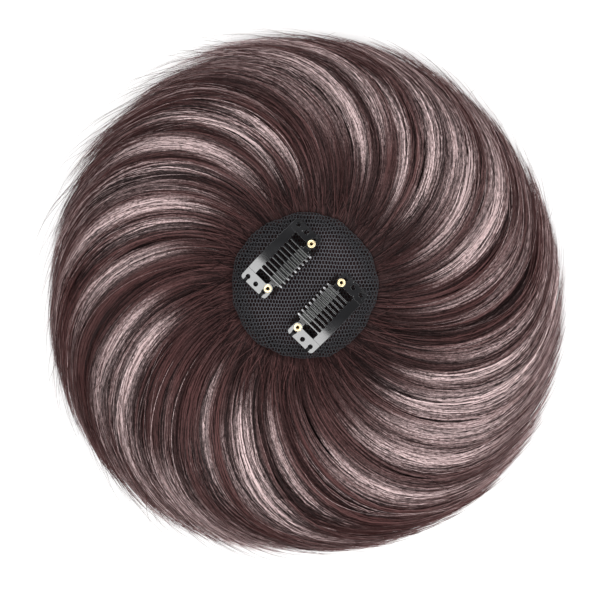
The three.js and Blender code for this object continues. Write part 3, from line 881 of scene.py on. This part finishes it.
def painted_sheen_share(heading, spread):
    """How strongly the painted sheen lightens the hair, from 0 to 1: a union of streaks, each a bell across a
    heading that drifts.
    """
    dark = np.ones_like(spread)
    for middle, drift, half, strength, start, stop in painted_sheen_streaks():
        along = np.clip((spread - start) / (stop - start), 0, 1)
        away = (np.degrees(heading) - middle - drift * along + 180) % 360 - 180
        dark *= 1 - strength * np.sin(np.pi * along) * np.exp(-((away / half) ** 2))
    return 1 - dark


def lock_mesh(name, hair, first, last, rng):
    """Strands of the locks from first to last.

    A strand lies in a wisp at a place across its lock. It follows the swirl turned by the lock's heading,
    drawn together towards the tip. The lock's section is a crown that leans over its neighbour, and lower
    wisps lie deeper in it.
    """
    line = swirl_line(hair)
    lock = np.repeat(np.arange(first, last), hair.strands_per_lock)
    count = len(lock)
    wisp = np.arange(count) // hair.strands_per_wisp
    kind = lock % len(LOCK_KINDS["wide"])
    wide, rise, reach, turn = (np.array(column)[kind] for column in LOCK_KINDS.values())
    along = shares_along(count, hair.strand_steps)
    apart = bell(rng, count, 0.028) * (0.6 + along)
    across = shared(rng, wisp, -1, 1)[:, None] + apart
    depth = np.clip(shared(rng, wisp, 0, 1) ** 1.4 + rng.normal(0, 0.05, count), 0, 1)
    length = 1 - 0.3 * rng.uniform(0, 1, count) ** 1.9
    run = line["run"][-1] * length[:, None] * along
    radius = swirl_at(line, run, "radius")
    heading = 2 * np.pi * lock / hair.lock_count + np.radians(turn)
    half = 1.6 * np.pi / hair.lock_count * wide[:, None]
    gather = np.interp(along, LOCK_SECTION["along"], LOCK_SECTION["spread"])
    wave = shared(rng, wisp, 0.6, 1.6)[:, None] * along + shared(rng, wisp, 0, 1)[:, None]
    ripple = even(rng, count, 1.5, 3.2) * along + even(rng, count, 0, 1)
    sway = np.radians(shared(rng, wisp, -1.2, 1.2))[:, None] * np.sin(2 * np.pi * wave) * (0.3 + along)
    sway = sway + np.radians(bell(rng, count, 0.3)) * np.sin(2 * np.pi * ripple)
    turned = swirl_at(line, run, "turn")
    azimuth = heading[:, None] + turned + across * half * gather + sway
    thin = outline_at(azimuth[:, -1], "thin_mm")
    reach = (reach - thin * rng.uniform(0, 1, count) ** 1.3) * MM
    share = outline_at(azimuth[:, -1]) + reach / hair.outline_radius + rng.normal(0, 0.004, count)
    spread = radius / hair.outline_radius
    scale = 1 + (share[:, None] - 1) * spread**2
    drop = np.interp(along, LOCK_SECTION["along"], LOCK_SECTION["drop_mm"]) * MM
    arch = np.sin(np.pi * along)
    lean = 0.9 * MM * arch
    height = mound_height(radius, hair) + rise[:, None] * MM * arch - drop * across**2 + lean * across
    height -= (depth[:, None] * 1.6 + even(rng, count, 0, 0.3)) * MM * (0.25 + 0.75 * arch)
    height += bell(rng, count, 0.12) * MM * np.sin(2 * np.pi * (wave + 0.3))
    height = np.maximum(height, 0.45 * MM)
    half_width = np.maximum(radius * half * gather, 2 * MM)
    twist = np.arctan((lean - 2 * drop * across) / half_width)
    twist = twist + np.radians(shared(rng, wisp, -18, 18) + rng.normal(0, 8, count))[:, None]
    twist = twist + np.radians(bell(rng, count, 9)) * np.sin(2 * np.pi * wave)
    taper = np.interp(along, [0, 0.1, 0.7, 0.9, 1], [0.8, 1.0, 1.0, 0.55, 0.08])
    width = hair.strand_width * even(rng, count, 0.65, 1.35) * taper
    # Painted shade: deeper wisps get a lower tone, so they come out darker
    tone = (shared(rng, wisp, 0, 0.6) + rng.uniform(0, 0.55, count)) * (1 - 0.3 * depth)
    fringe = np.radians(bell(rng, count, 0.5))
    # Painted sheen: each strand's share of the highlight colour, weaker on strands of low tone
    painted_sheen = painted_sheen_share(azimuth - turned + fringe, spread) * (0.25 + 0.75 * smooth(tone, 0.16, 0.75)[:, None])
    return strand_mesh(name, hair, radius * scale, azimuth, height, width, twist, spread, tone, painted_sheen)


def stray_mesh(name, hair, rng):
    """Loose strands that lie across the locks, some with ends that leave the outline."""
    line = swirl_line(hair)
    total = np.array(STRAYS["count"])
    low, high, reach = (np.repeat(STRAYS[key], total) for key in ("from_deg", "to_deg", "reach_mm"))
    count = total.sum()
    along = shares_along(count, STRAY_STEPS)
    start, stop = even(rng, count, 0.05, 0.5), even(rng, count, 0.85, 1.0)
    run = line["run"][-1] * (start + (stop - start) * along)
    radius = swirl_at(line, run, "radius")
    turn = swirl_at(line, run, "turn") * even(rng, count, 0.85, 1.15)
    end = np.radians(rng.uniform(low, high))[:, None]
    sway = np.radians(bell(rng, count, 3.0))
    wave = even(rng, count, 0.4, 1.1) * along + even(rng, count, 0, 1)
    azimuth = end + turn - turn[:, -1:] + sway * np.sin(2 * np.pi * wave)
    share = outline_at(azimuth) - 1
    spread = radius / hair.outline_radius
    leave = even(rng, count, 0.1, 1.0) * reach[:, None] * MM * smooth(along, 0.6, 1.0)
    lift = (0.3 + even(rng, count, 0, 1.0) * np.sin(np.pi * along)) * MM
    height = np.maximum(mound_height(radius, hair) + lift, 0.6 * MM)
    width = np.interp(along, [0, 0.15, 0.8, 1], [0.4, 1, 1, 0.2]) * even(rng, count, 0.08, 0.16) * MM
    twist = np.radians(bell(rng, count, 25)) + 0 * along
    tone = rng.uniform(0.1, 0.8, count)
    # Painted sheen on about a fifth of the loose strands
    painted_sheen = 0 * along + np.where(rng.uniform(size=count) < 0.2, rng.uniform(0.2, 0.5, count), 0.0)[:, None]
    radius = radius * (1 + share * spread**2) + leave
    return strand_mesh(name, hair, radius, azimuth, height, width, twist, spread, tone, painted_sheen)


def root_mesh(name, hair, rng):
    """Short hairs round the base: each leaves its edge at a slant and bends back towards the swirl."""
    line = swirl_line(hair)
    count = ROOT_COUNT
    along = shares_along(count, ROOT_STEPS)
    run = even(rng, count, 0, 8) * MM + even(rng, count, 9, 34) * MM * along
    radius = swirl_at(line, run, "radius")
    slant = np.radians(bell(rng, count, 9)) * along * (1.4 - along)
    azimuth = even(rng, count, 0, 2 * np.pi) + swirl_at(line, run, "turn") + slant
    spread = 0.25 + 0.75 * radius / hair.outline_radius
    lift = (even(rng, count, 0.0, 0.9) * np.sin(np.pi * along) + 0.2) * MM
    height = mound_height(radius, hair) + lift
    width = np.interp(along, [0, 0.5, 1], [1, 0.9, 0.25]) * even(rng, count, 0.14, 0.3) * MM
    twist = np.radians(bell(rng, count, 22)) + 0 * along
    tone = rng.beta(1.4, 1.8, count)
    return strand_mesh(name, hair, radius, azimuth, height, width, twist, spread, tone, 0 * along)


def mass_mesh(name, hair):
    """Body of the hair, painted near black as shade: a mound turned round the base, sunk under the strands
    and flat below.
    """
    top = np.linspace(hair.outline_radius - 4.5 * MM, BASE_RADIUS - 1 * MM, 40)
    cover = np.stack([top, np.maximum(mound_height(top, hair) - MASS_SINK, 1.0 * MM)], axis=1)
    under_net = np.array([22.5, 16, 8, 0]) * MM
    inner = np.stack([under_net, dome_height(under_net) - NET_ROOM], axis=1)
    foot = np.array([[0, 0.2], [40, 0.2], [70, 0.2], [91, 0.2], [93.5, 0.6]]) * MM
    points, faces = turned_solid(np.concatenate([foot, cover, inner]), 120)
    radius = np.hypot(points[:, 0], points[:, 1])
    azimuth = np.arctan2(points[:, 1], points[:, 0])
    line = swirl_line(hair)
    lay = azimuth - np.interp(radius, line["radius"], line["turn"])
    share = radius / hair.outline_radius
    streaks = np.stack([np.cos(lay), np.sin(lay), 0.1 * share], axis=1)
    radius = radius * (1 + (outline_at(azimuth) - 1) * share**2)
    points[:, 0], points[:, 1] = drifted(radius, azimuth, hair)
    return build_mesh(name, points, faces, [("lay", streaks)])


# Net base


def fold_profile(run):
    """The net from its middle outward as (radius, height, normal): dome, round fold, then back under it."""
    edge = BASE_RADIUS - HEM_RADIUS
    turn = np.clip((run - edge) / HEM_RADIUS, 0, np.pi)
    back = np.maximum(run - edge - np.pi * HEM_RADIUS, 0)
    inner = np.minimum(run, edge)
    dome_radius = np.maximum(np.where(back > 0, edge - back, inner), 0)
    tilt = np.arcsin(dome_radius / DOME_RADIUS)
    lean = tilt + turn
    radius = dome_radius + HEM_RADIUS * (np.sin(lean) - np.sin(tilt))
    height = dome_height(dome_radius) - 0.25 * MM + HEM_RADIUS * (np.cos(lean) - np.cos(tilt))
    return radius, height, lean


def shadow_under_clips(x, y):
    """How far a point of the net lies under a clip's teeth and rivets, from 0 to 1, with soft borders: the
    share of painted shadow there.
    """
    covered = np.zeros_like(x)
    for turn in CLIPS.values():
        along = x * math.cos(turn) + y * math.sin(turn) - CLIP_SHIFT
        across = y * math.cos(turn) - x * math.sin(turn) + CLIP_REACH
        sides = smooth(across, SPINE_EDGE + SPINE_WIDTH - 0.8 * MM, SPINE_EDGE + SPINE_WIDTH)
        tips = 1 - smooth(across, TOOTH_TIP - 0.8 * MM, TOOTH_TIP)
        ends = 1 - smooth(np.abs(along), RIVET_X + 0.8 * MM, RIVET_X + 1.6 * MM)
        covered = np.maximum(covered, sides * tips * ends)
    return covered


def net_mesh(name, net):
    """Hexagonal net: each cell's border is the ridge of a yarn that falls to the edge of its hole.

    The flat net is laid over the dome by its distance from the middle, and its outer part is folded under.
    """
    limit = BASE_RADIUS + HEM_RADIUS * (np.pi - 1) + net.hem
    columns = np.arange(-int(limit / net.pitch) - 1, int(limit / net.pitch) + 2)
    rows = np.arange(-int(limit / net.row) - 1, int(limit / net.row) + 2)
    column, row = (grid.ravel() for grid in np.meshgrid(columns, rows, indexing="ij"))
    centre = np.stack([(column + 0.5 * (row % 2)) * net.pitch, row * net.row], axis=1)
    centre = centre[np.hypot(centre[:, 0], centre[:, 1]) < limit - 0.5 * net.row]
    low, high = 0.37 * net.row, 0.63 * net.row
    half = net.pitch / 2
    corner = np.array([[half, low], [0, high], [-half, low], [-half, -low], [0, -high], [half, -low]])
    border = (centre[:, None, :] + corner).reshape(-1, 2)
    hole = centre[:, None, :] + corner * [1 - net.yarn / net.pitch, 1 - net.yarn / net.row]
    keys = np.rint(border / (0.02 * net.pitch)).astype(int)
    _, first, joined = np.unique(keys, axis=0, return_index=True, return_inverse=True)
    ridge, joined = border[first], joined.reshape(-1, 6)
    corners = len(ridge)
    inner = 2 * corners + np.arange(len(centre) * 6).reshape(-1, 6)
    ahead, inner_ahead = np.roll(joined, -1, axis=1), np.roll(inner, -1, axis=1)
    top = np.stack([joined, ahead, inner_ahead, inner], axis=-1).reshape(-1, 4)
    under = np.stack([inner, inner_ahead, ahead + corners, joined + corners], axis=-1).reshape(-1, 4)
    edges = np.stack([joined, ahead], axis=-1).reshape(-1, 2)
    _, place, uses = np.unique(np.sort(edges, axis=1), axis=0, return_index=True, return_counts=True)
    rim = edges[place[uses == 1]]
    walls = np.stack([rim[:, 1], rim[:, 0], rim[:, 0] + corners, rim[:, 1] + corners], axis=-1)
    flat = np.concatenate([ridge, ridge, hole.reshape(-1, 2)])
    lift = np.concatenate([np.full(corners, 1.0), np.full(corners, -1.0), np.zeros(inner.size)])
    wave_x, wave_y, phase, pull_x, pull_y = (np.array(entry) for entry in NET_PULL.values())
    swell = np.sin(flat @ np.stack([wave_x, wave_y]) + phase)
    flat = flat + swell @ np.stack([pull_x, pull_y], axis=1) * MM
    run, azimuth = np.hypot(flat[:, 0], flat[:, 1]), np.arctan2(flat[:, 1], flat[:, 0])
    radius, height, lean = fold_profile(run)
    uneven = 0.3 * np.sin(5 * azimuth + 1) + 0.22 * np.sin(11 * azimuth + 2.3) + 0.15 * np.sin(19 * azimuth)
    radius = radius + uneven * MM * smooth(radius, 0.6 * BASE_RADIUS, BASE_RADIUS)
    raised = lift * net.yarn * 0.42
    radius = radius + raised * np.sin(lean)
    height = height + raised * np.cos(lean)
    x, y = radius * np.cos(azimuth), radius * np.sin(azimuth)
    points = np.stack([x + BASE_OFFSET[0], y + BASE_OFFSET[1], height], axis=1)
    cover = 1 - (1 - net.yarn / net.pitch) * (1 - net.yarn / net.row)
    # Painted shade over the outer net and its folded hem, whose lower layer lies in shade, and painted shadow
    # under the clips
    dark = np.maximum(0.72 * smooth(run, 17 * MM, BASE_RADIUS - 1 * MM), shadow_under_clips(x, y))
    return build_mesh(name, points, [top, under, walls], [("dark", dark)]), 2 * limit, cover


# Snap clips


def comb_outline():
    """Spine and teeth: straight spine, round tooth tips, round ends of the slots."""
    end = CLIP_LENGTH / 2 - END_PLATE_WIDTH - SEAM
    root = SPINE_EDGE + SPINE_WIDTH
    shoulder = root - SLOT_ROUND
    half = TOOTH_WIDTH / 2
    stretches = [np.array([[-end, shoulder], [-end, SPINE_EDGE], [end, SPINE_EDGE], [end, shoulder]])]
    for tooth in range(TOOTH_COUNT):
        x = ((TOOTH_COUNT - 1) / 2 - tooth) * TOOTH_PITCH
        stretches.append(arc(x + half + SLOT_ROUND, root, SLOT_ROUND, 270, 180, 4))
        stretches.append(arc(x, TOOTH_TIP - half, half, 0, 180, 10))
        stretches.append(arc(x - half - SLOT_ROUND, root, SLOT_ROUND, 360, 270, 4))
    return np.concatenate(stretches)


def sew_notch(y):
    """Round sewing notch that opens to the clip's end through a narrow slit."""
    end = CLIP_LENGTH / 2
    mouth = math.degrees(math.asin(SEW_SLIT / 2 / SEW_HOLE_RADIUS))
    return np.concatenate(
        [
            [[end, y - SEW_SLIT / 2]],
            arc(end - SEW_HOLE_INSET, y, SEW_HOLE_RADIUS, -mouth, mouth - 360, 20),
            [[end, y + SEW_SLIT / 2]],
        ]
    )


def end_plate_loops():
    """Plate at the clip's +x end: outline with two sewing notches and a rivet lug, and two round holes."""
    end = CLIP_LENGTH / 2
    inner = end - END_PLATE_WIDTH
    round_x = end - END_PLATE_CORNER
    lug = math.degrees(math.acos((inner - RIVET_X) / LUG_RADIUS))
    outline = np.concatenate(
        [
            [[inner, SPINE_EDGE]],
            arc(round_x, SPINE_EDGE + END_PLATE_CORNER, END_PLATE_CORNER, -90, 0, 10),
            *(sew_notch(y) for y in NOTCHES),
            arc(round_x, END_PLATE_EDGE - END_PLATE_CORNER, END_PLATE_CORNER, 0, 90, 10),
            arc(RIVET_X, RIVET_Y, LUG_RADIUS, 90, 360 - lug, 16),
        ]
    )
    holes = [
        arc(end - SEW_HOLE_INSET, 0, SEW_HOLE_RADIUS, 360, 0, 22)[:-1],
        arc(RIVET_X, RIVET_Y, RIVET_HOLE, 360, 0, 22)[:-1],
    ]
    return [outline, *holes]


def bar_loops():
    """Spring bar under the teeth: a straight strip with a narrow neck and a round lug at each rivet."""
    neck, half = BAR_NECK / 2, BAR_WIDTH / 2
    spread = math.degrees(math.asin(neck / LUG_RADIUS))
    x, y = BAR_HALF_LENGTH, RIVET_Y
    right = np.concatenate(
        [
            [[x, y - half], [x, y - neck]],
            arc(RIVET_X, y, LUG_RADIUS, spread - 180, 180 - spread, 20),
            [[x, y + neck], [x, y + half]],
        ]
    )
    left = np.array([-1, 1]) * right[::-1]
    hole = arc(RIVET_X, y, RIVET_HOLE, 360, 0, 22)[:-1]
    return [np.concatenate([right, left]), hole, mirrored(hole)]


def grip_slab():
    """Ribbed pad: a closed grid whose top is a row of round ribs that fall away at its edges."""
    depth = BAR_WIDTH - 0.3 * MM
    across, along = np.meshgrid(np.linspace(-1, 1, 13), np.linspace(-1, 1, GRIP_RIBS * 8 + 1))
    x, y = along * GRIP_HALF_LENGTH, RIVET_Y + across * depth / 2
    ribs = 0.5 - 0.5 * np.cos(np.pi * GRIP_RIBS * (along + 1))
    fall = np.maximum(smooth(np.abs(across), 0.86, 1.0), smooth(np.abs(along), 0.985, 1.0))
    top = (GRIP_THICKNESS - RIB_DEPTH + RIB_DEPTH * ribs) * (1 - 0.35 * fall)
    points = np.concatenate([np.stack([x, y, z], axis=-1).reshape(-1, 3) for z in (top, 0 * top)])
    index = np.arange(x.size).reshape(x.shape)
    quads = grid_quads(index)
    border = np.concatenate([index[:-1, 0], index[-1, :-1], index[:0:-1, -1], index[0, :0:-1]])
    ahead = np.roll(border, -1)
    walls = np.stack([border, border + x.size, ahead + x.size, ahead], axis=-1)
    crest = np.concatenate([ribs.ravel(), 0 * ribs.ravel()])
    return points, [quads, quads[:, ::-1] + x.size, walls], crest


def rivet_ring(side):
    """Hollow rivet: a closed profile with a flat lower flange and a rolled upper one, turned and leaned."""
    flange = RIVET_FLANGE_THICKNESS
    low = BAR_HEIGHT - flange - CLOSE_GAP
    drop = RIVET_X**2 / 2
    plate_top = PLATE_HEIGHT + PLATE_THICKNESS - drop / PLATE_BOW + drop / DOME_RADIUS
    high = plate_top + CLOSE_GAP + flange
    roll = np.radians(np.linspace(0, 180, 11))[:, None]
    middle, half = (RIVET_FLANGE + RIVET_BORE) / 2, (RIVET_FLANGE - RIVET_BORE) / 2
    rolled = np.hstack([middle + half * np.cos(roll), high - flange + flange * np.sin(roll)])
    lower = np.array(
        [
            [RIVET_BORE, low],
            [RIVET_FLANGE - 0.05 * MM, low],
            [RIVET_FLANGE, low + 0.05 * MM],
            [RIVET_FLANGE, low + flange],
            [RIVET_SHANK, low + flange],
            [RIVET_SHANK, high - flange],
        ]
    )
    points, faces = turned_ring(np.concatenate([lower, rolled]), 32)
    centre = (low + high) / 2
    lean = side * (RIVET_X / PLATE_BOW + RIVET_X / DOME_RADIUS) / 2
    cosine, sine = math.cos(lean), math.sin(lean)
    x, y, z = points[:, 0], points[:, 1], points[:, 2] - centre
    leaned = np.stack([x * cosine + z * sine, y, z * cosine - x * sine], axis=1)
    return leaned + [side * RIVET_X, RIVET_Y, centre - drop / DOME_RADIUS], faces


def stitch_tubes(width, rng):
    """Sewing thread: round tubes up through each notch, over the plate's end and down to the net."""
    turns = np.arange(STITCH_TURNS)
    side, hole, turn = (grid.ravel() for grid in np.meshgrid([-1, 1], NOTCHES, turns, indexing="ij"))
    along = np.linspace(0, 1, 15)
    place = np.interp(along, [0, 0.22, 0.6, 0.82, 1], [14.3, 14.6, 15.7, 16.25, 16.6]) * MM
    net = -(place**2) / (2 * DOME_RADIUS)
    top = PLATE_HEIGHT + PLATE_THICKNESS - place**2 / (2 * PLATE_BOW) + 0.14 * MM
    share = np.interp(along, [0, 0.14, 0.26, 0.62, 0.8, 1], [0, 0.55, 1.0, 1.0, 0.5, 0.0])
    height = net + (top - net) * share
    fan = (turn - (STITCH_TURNS - 1) / 2) * 0.3 * MM + rng.normal(0, 0.06, len(turn)) * MM
    spread = fan[:, None] * (0.75 + 0.5 * along) + bell(rng, len(turn), 0.1) * MM * along
    heights = np.broadcast_to(height, spread.shape)
    paths = np.stack([side[:, None] * place, hole[:, None] + spread, heights], axis=-1)
    ahead = unit(np.gradient(paths, axis=1))
    aside = unit(np.cross(np.array([0.0, 1.0, 0.0]), ahead))
    up = np.cross(ahead, aside)
    angle = np.linspace(0, 2 * np.pi, 7)[:-1]
    section = 0.5 * np.stack([np.cos(angle), np.sin(angle)], axis=1)
    return swept(paths, aside, up, np.full(paths.shape[:2], width), section)


# Operators


class TOPPER_OT_hair_mass(bpy.types.Operator):
    """Body of the hair under its strands, painted near black as shade"""

    bl_idname = "topper.hair_mass"
    bl_label = "Hair mass"

    def execute(self, context):
        hair = context.scene.topper_hair
        show_piece(mass_mesh("hair_mass", hair), mass_material(hair), nodes=("hair",))
        return {"FINISHED"}


class TOPPER_OT_hair_locks(bpy.types.Operator):
    """Strands of the swirl, in four bundles of locks, and the loose strands over them"""

    bl_idname = "topper.hair_locks"
    bl_label = "Hair locks"

    def execute(self, context):
        hair = context.scene.topper_hair
        rng = np.random.default_rng(28)
        material = hair_material(hair)
        cuts = np.linspace(0, hair.lock_count, 5).astype(int)
        for number, (first, last) in enumerate(zip(cuts[:-1], cuts[1:]), 1):
            show_piece(lock_mesh(f"hair_locks_{number}", hair, first, last, rng), material)
        show_piece(stray_mesh("hair_strays", hair, rng), material)
        show_piece(root_mesh("hair_roots", hair, rng), material)
        return {"FINISHED"}


class TOPPER_OT_net_base(bpy.types.Operator):
    """Hexagonal net with its edge folded under"""

    bl_idname = "topper.net_base"
    bl_label = "Net base"

    def execute(self, context):
        net = context.scene.topper_net
        mesh, size, cover = net_mesh("net", net)
        piece = show_piece(mesh, yarn_material("net_yarn", net.colour, 2600.0), nodes=("base_net",))
        return {"FINISHED"}


class TOPPER_OT_clip_plates(bpy.types.Operator):
    """Lacquered steel of both snap clips: combs, end plates and spring bars"""

    bl_idname = "topper.clip_plates"
    bl_label = "Clip plates"

    def execute(self, context):
        lacquer = lacquer_material(context.scene.topper_clip.lacquer)
        near = end_plate_loops()
        plates = {
            "comb": ([comb_outline()], PLATE_THICKNESS, PLATE_BOW, PLATE_HEIGHT),
            "near_end_plate": (near, PLATE_THICKNESS, PLATE_BOW, PLATE_HEIGHT),
            "far_end_plate": ([mirrored(loop) for loop in near], PLATE_THICKNESS, PLATE_BOW, PLATE_HEIGHT),
            "bar": (bar_loops(), BAR_THICKNESS, DOME_RADIUS, BAR_HEIGHT),
        }
        for label, (loops, thickness, bow, height) in plates.items():
            points, faces = stamped_plate(loops, thickness)
            points = bowed(points, bow, height)
            # Painted glint: its share near the end of each tooth
            tip_glint = smooth(points[:, 1], TOOTH_TIP - 1.3 * MM, TOOTH_TIP - 0.6 * MM)
            for clip, turn in CLIPS.items():
                mesh = build_mesh(f"{clip}_{label}", on_base(points, turn), faces, [("tip_glint", tip_glint)])
                body = f"{clip}_comb" if label == "comb" else "topper"
                show_piece(mesh, lacquer, body, (f"{clip}_clip_{label}",))
        return {"FINISHED"}


class TOPPER_OT_clip_grips(bpy.types.Operator):
    """Ribbed rubber pads along the spring bars"""

    bl_idname = "topper.clip_grips"
    bl_label = "Clip grips"

    def execute(self, context):
        rubber = rubber_material(context.scene.topper_clip.rubber)
        points, faces, crest = grip_slab()
        points = bowed(points, DOME_RADIUS, GRIP_HEIGHT)
        for clip, turn in CLIPS.items():
            mesh = build_mesh(f"{clip}_grip", on_base(points, turn), faces, [("crest", crest)], sharp_deg=50)
            show_piece(mesh, rubber, nodes=(f"{clip}_clip_grip",))
        return {"FINISHED"}


class TOPPER_OT_clip_rivets(bpy.types.Operator):
    """Hollow brass rivets at both ends of each clip"""

    bl_idname = "topper.clip_rivets"
    bl_label = "Clip rivets"

    def execute(self, context):
        brass = brass_material(context.scene.topper_clip.brass)
        for clip, turn in CLIPS.items():
            for label, side in (("near", 1), ("far", -1)):
                points, faces = rivet_ring(side)
                mesh = build_mesh(f"{clip}_{label}_rivet", on_base(points, turn), faces, sharp_deg=50)
                show_piece(mesh, brass, nodes=(f"{clip}_clip_{label}_rivet",))
        return {"FINISHED"}


class TOPPER_OT_stitches(bpy.types.Operator):
    """Thread that sews the ends of the clips to the net"""

    bl_idname = "topper.stitches"
    bl_label = "Clip stitches"

    def execute(self, context):
        clip_settings = context.scene.topper_clip
        thread = yarn_material("sewing_thread", clip_settings.thread, 4000.0)
        rng = np.random.default_rng(9)
        for clip, turn in CLIPS.items():
            points, faces = stitch_tubes(clip_settings.thread_width, rng)
            show_piece(build_mesh(f"{clip}_stitches", on_base(points, turn), faces), thread)
        return {"FINISHED"}


class TOPPER_OT_stage(bpy.types.Operator):
    """White floor, soft lights and a camera straight above"""

    bl_idname = "topper.stage"
    bl_label = "Stage"

    def execute(self, context):
        stage = context.scene.topper_stage
        scene = context.scene
        span = np.linspace(-1.5, 1.5, 5)
        x, y = np.meshgrid(span, span, indexing="ij")
        index = np.arange(x.size).reshape(x.shape)
        ground = build_mesh("floor", np.stack([x, y, 0 * x], axis=-1), [grid_quads(index)])
        ground.materials.append(floor_material(stage.floor))
        floor = bpy.data.objects.new("floor", ground)
        scene.collection.objects.link(floor)
        target = Vector((*BASE_OFFSET, 0.01))
        for name, azimuth, polar, distance, width, depth, share in zip(*LIGHTS.values()):
            light = bpy.data.lights.new(name, "AREA")
            light.shape = "RECTANGLE"
            light.size = width
            light.size_y = depth
            light.energy = stage.light_power * share
            lamp = bpy.data.objects.new(name, light)
            around, lean = math.radians(azimuth), math.radians(polar)
            away = Vector(
                (math.cos(around) * math.sin(lean), math.sin(around) * math.sin(lean), math.cos(lean))
            )
            lamp.location = target + distance * away
            lamp.rotation_euler = (lean, 0, around + math.pi / 2)
            scene.collection.objects.link(lamp)
        world = bpy.data.worlds.new("surround")
        world.use_nodes = True
        sky = world.node_tree.nodes["Background"]
        sky.inputs["Color"].default_value = (1, 1, 1, 1)
        sky.inputs["Strength"].default_value = stage.sky_strength
        scene.world = world
        scene.view_settings.view_transform = "Standard"
        lens = bpy.data.cameras.new("camera")
        lens.lens = stage.lens
        lens.sensor_width = 36
        lens.clip_start = 0.01
        camera = bpy.data.objects.new("camera", lens)
        away = stage.frame_width * stage.lens / lens.sensor_width
        camera.location = (*CAMERA_PLACE, away + HAIR_LEVEL)
        scene.collection.objects.link(camera)
        scene.camera = camera
        return {"FINISHED"}


class TOPPER_PT_panel(bpy.types.Panel):
    """Lists the pieces and their settings"""

    bl_idname = "TOPPER_PT_panel"
    bl_label = "Hair topper"
    bl_space_type = "VIEW_3D"
    bl_region_type = "UI"
    bl_category = "Hair topper"

    def draw(self, context):
        for key, group in SETTINGS.items():
            box = self.layout.box()
            box.label(text=group.__doc__)
            for label in group.__annotations__:
                box.prop(getattr(context.scene, key), label)
        for operator in OPERATORS:
            self.layout.operator(operator.bl_idname)


SETTINGS = {
    "topper_hair": HairSettings,
    "topper_net": NetSettings,
    "topper_clip": ClipSettings,
    "topper_stage": StageSettings,
}
OPERATORS = (
    TOPPER_OT_hair_mass,
    TOPPER_OT_hair_locks,
    TOPPER_OT_net_base,
    TOPPER_OT_clip_plates,
    TOPPER_OT_clip_grips,
    TOPPER_OT_clip_rivets,
    TOPPER_OT_stitches,
    TOPPER_OT_stage,
)
CLASSES = (*SETTINGS.values(), *OPERATORS, TOPPER_PT_panel)


def register():
    for cls in CLASSES:
        bpy.utils.register_class(cls)
    for key, group in SETTINGS.items():
        setattr(bpy.types.Scene, key, PointerProperty(type=group))


def unregister():
    for key in SETTINGS:
        delattr(bpy.types.Scene, key)
    for cls in reversed(CLASSES):
        bpy.utils.unregister_class(cls)


def main():
    """Makes every piece and the stage."""
    register()
    bpy.ops.topper.hair_mass()
    bpy.ops.topper.hair_locks()
    bpy.ops.topper.net_base()
    bpy.ops.topper.clip_plates()
    bpy.ops.topper.clip_grips()
    bpy.ops.topper.clip_rivets()
    bpy.ops.topper.stitches()
    bpy.ops.topper.stage()


if __name__ == "__main__":
    main()
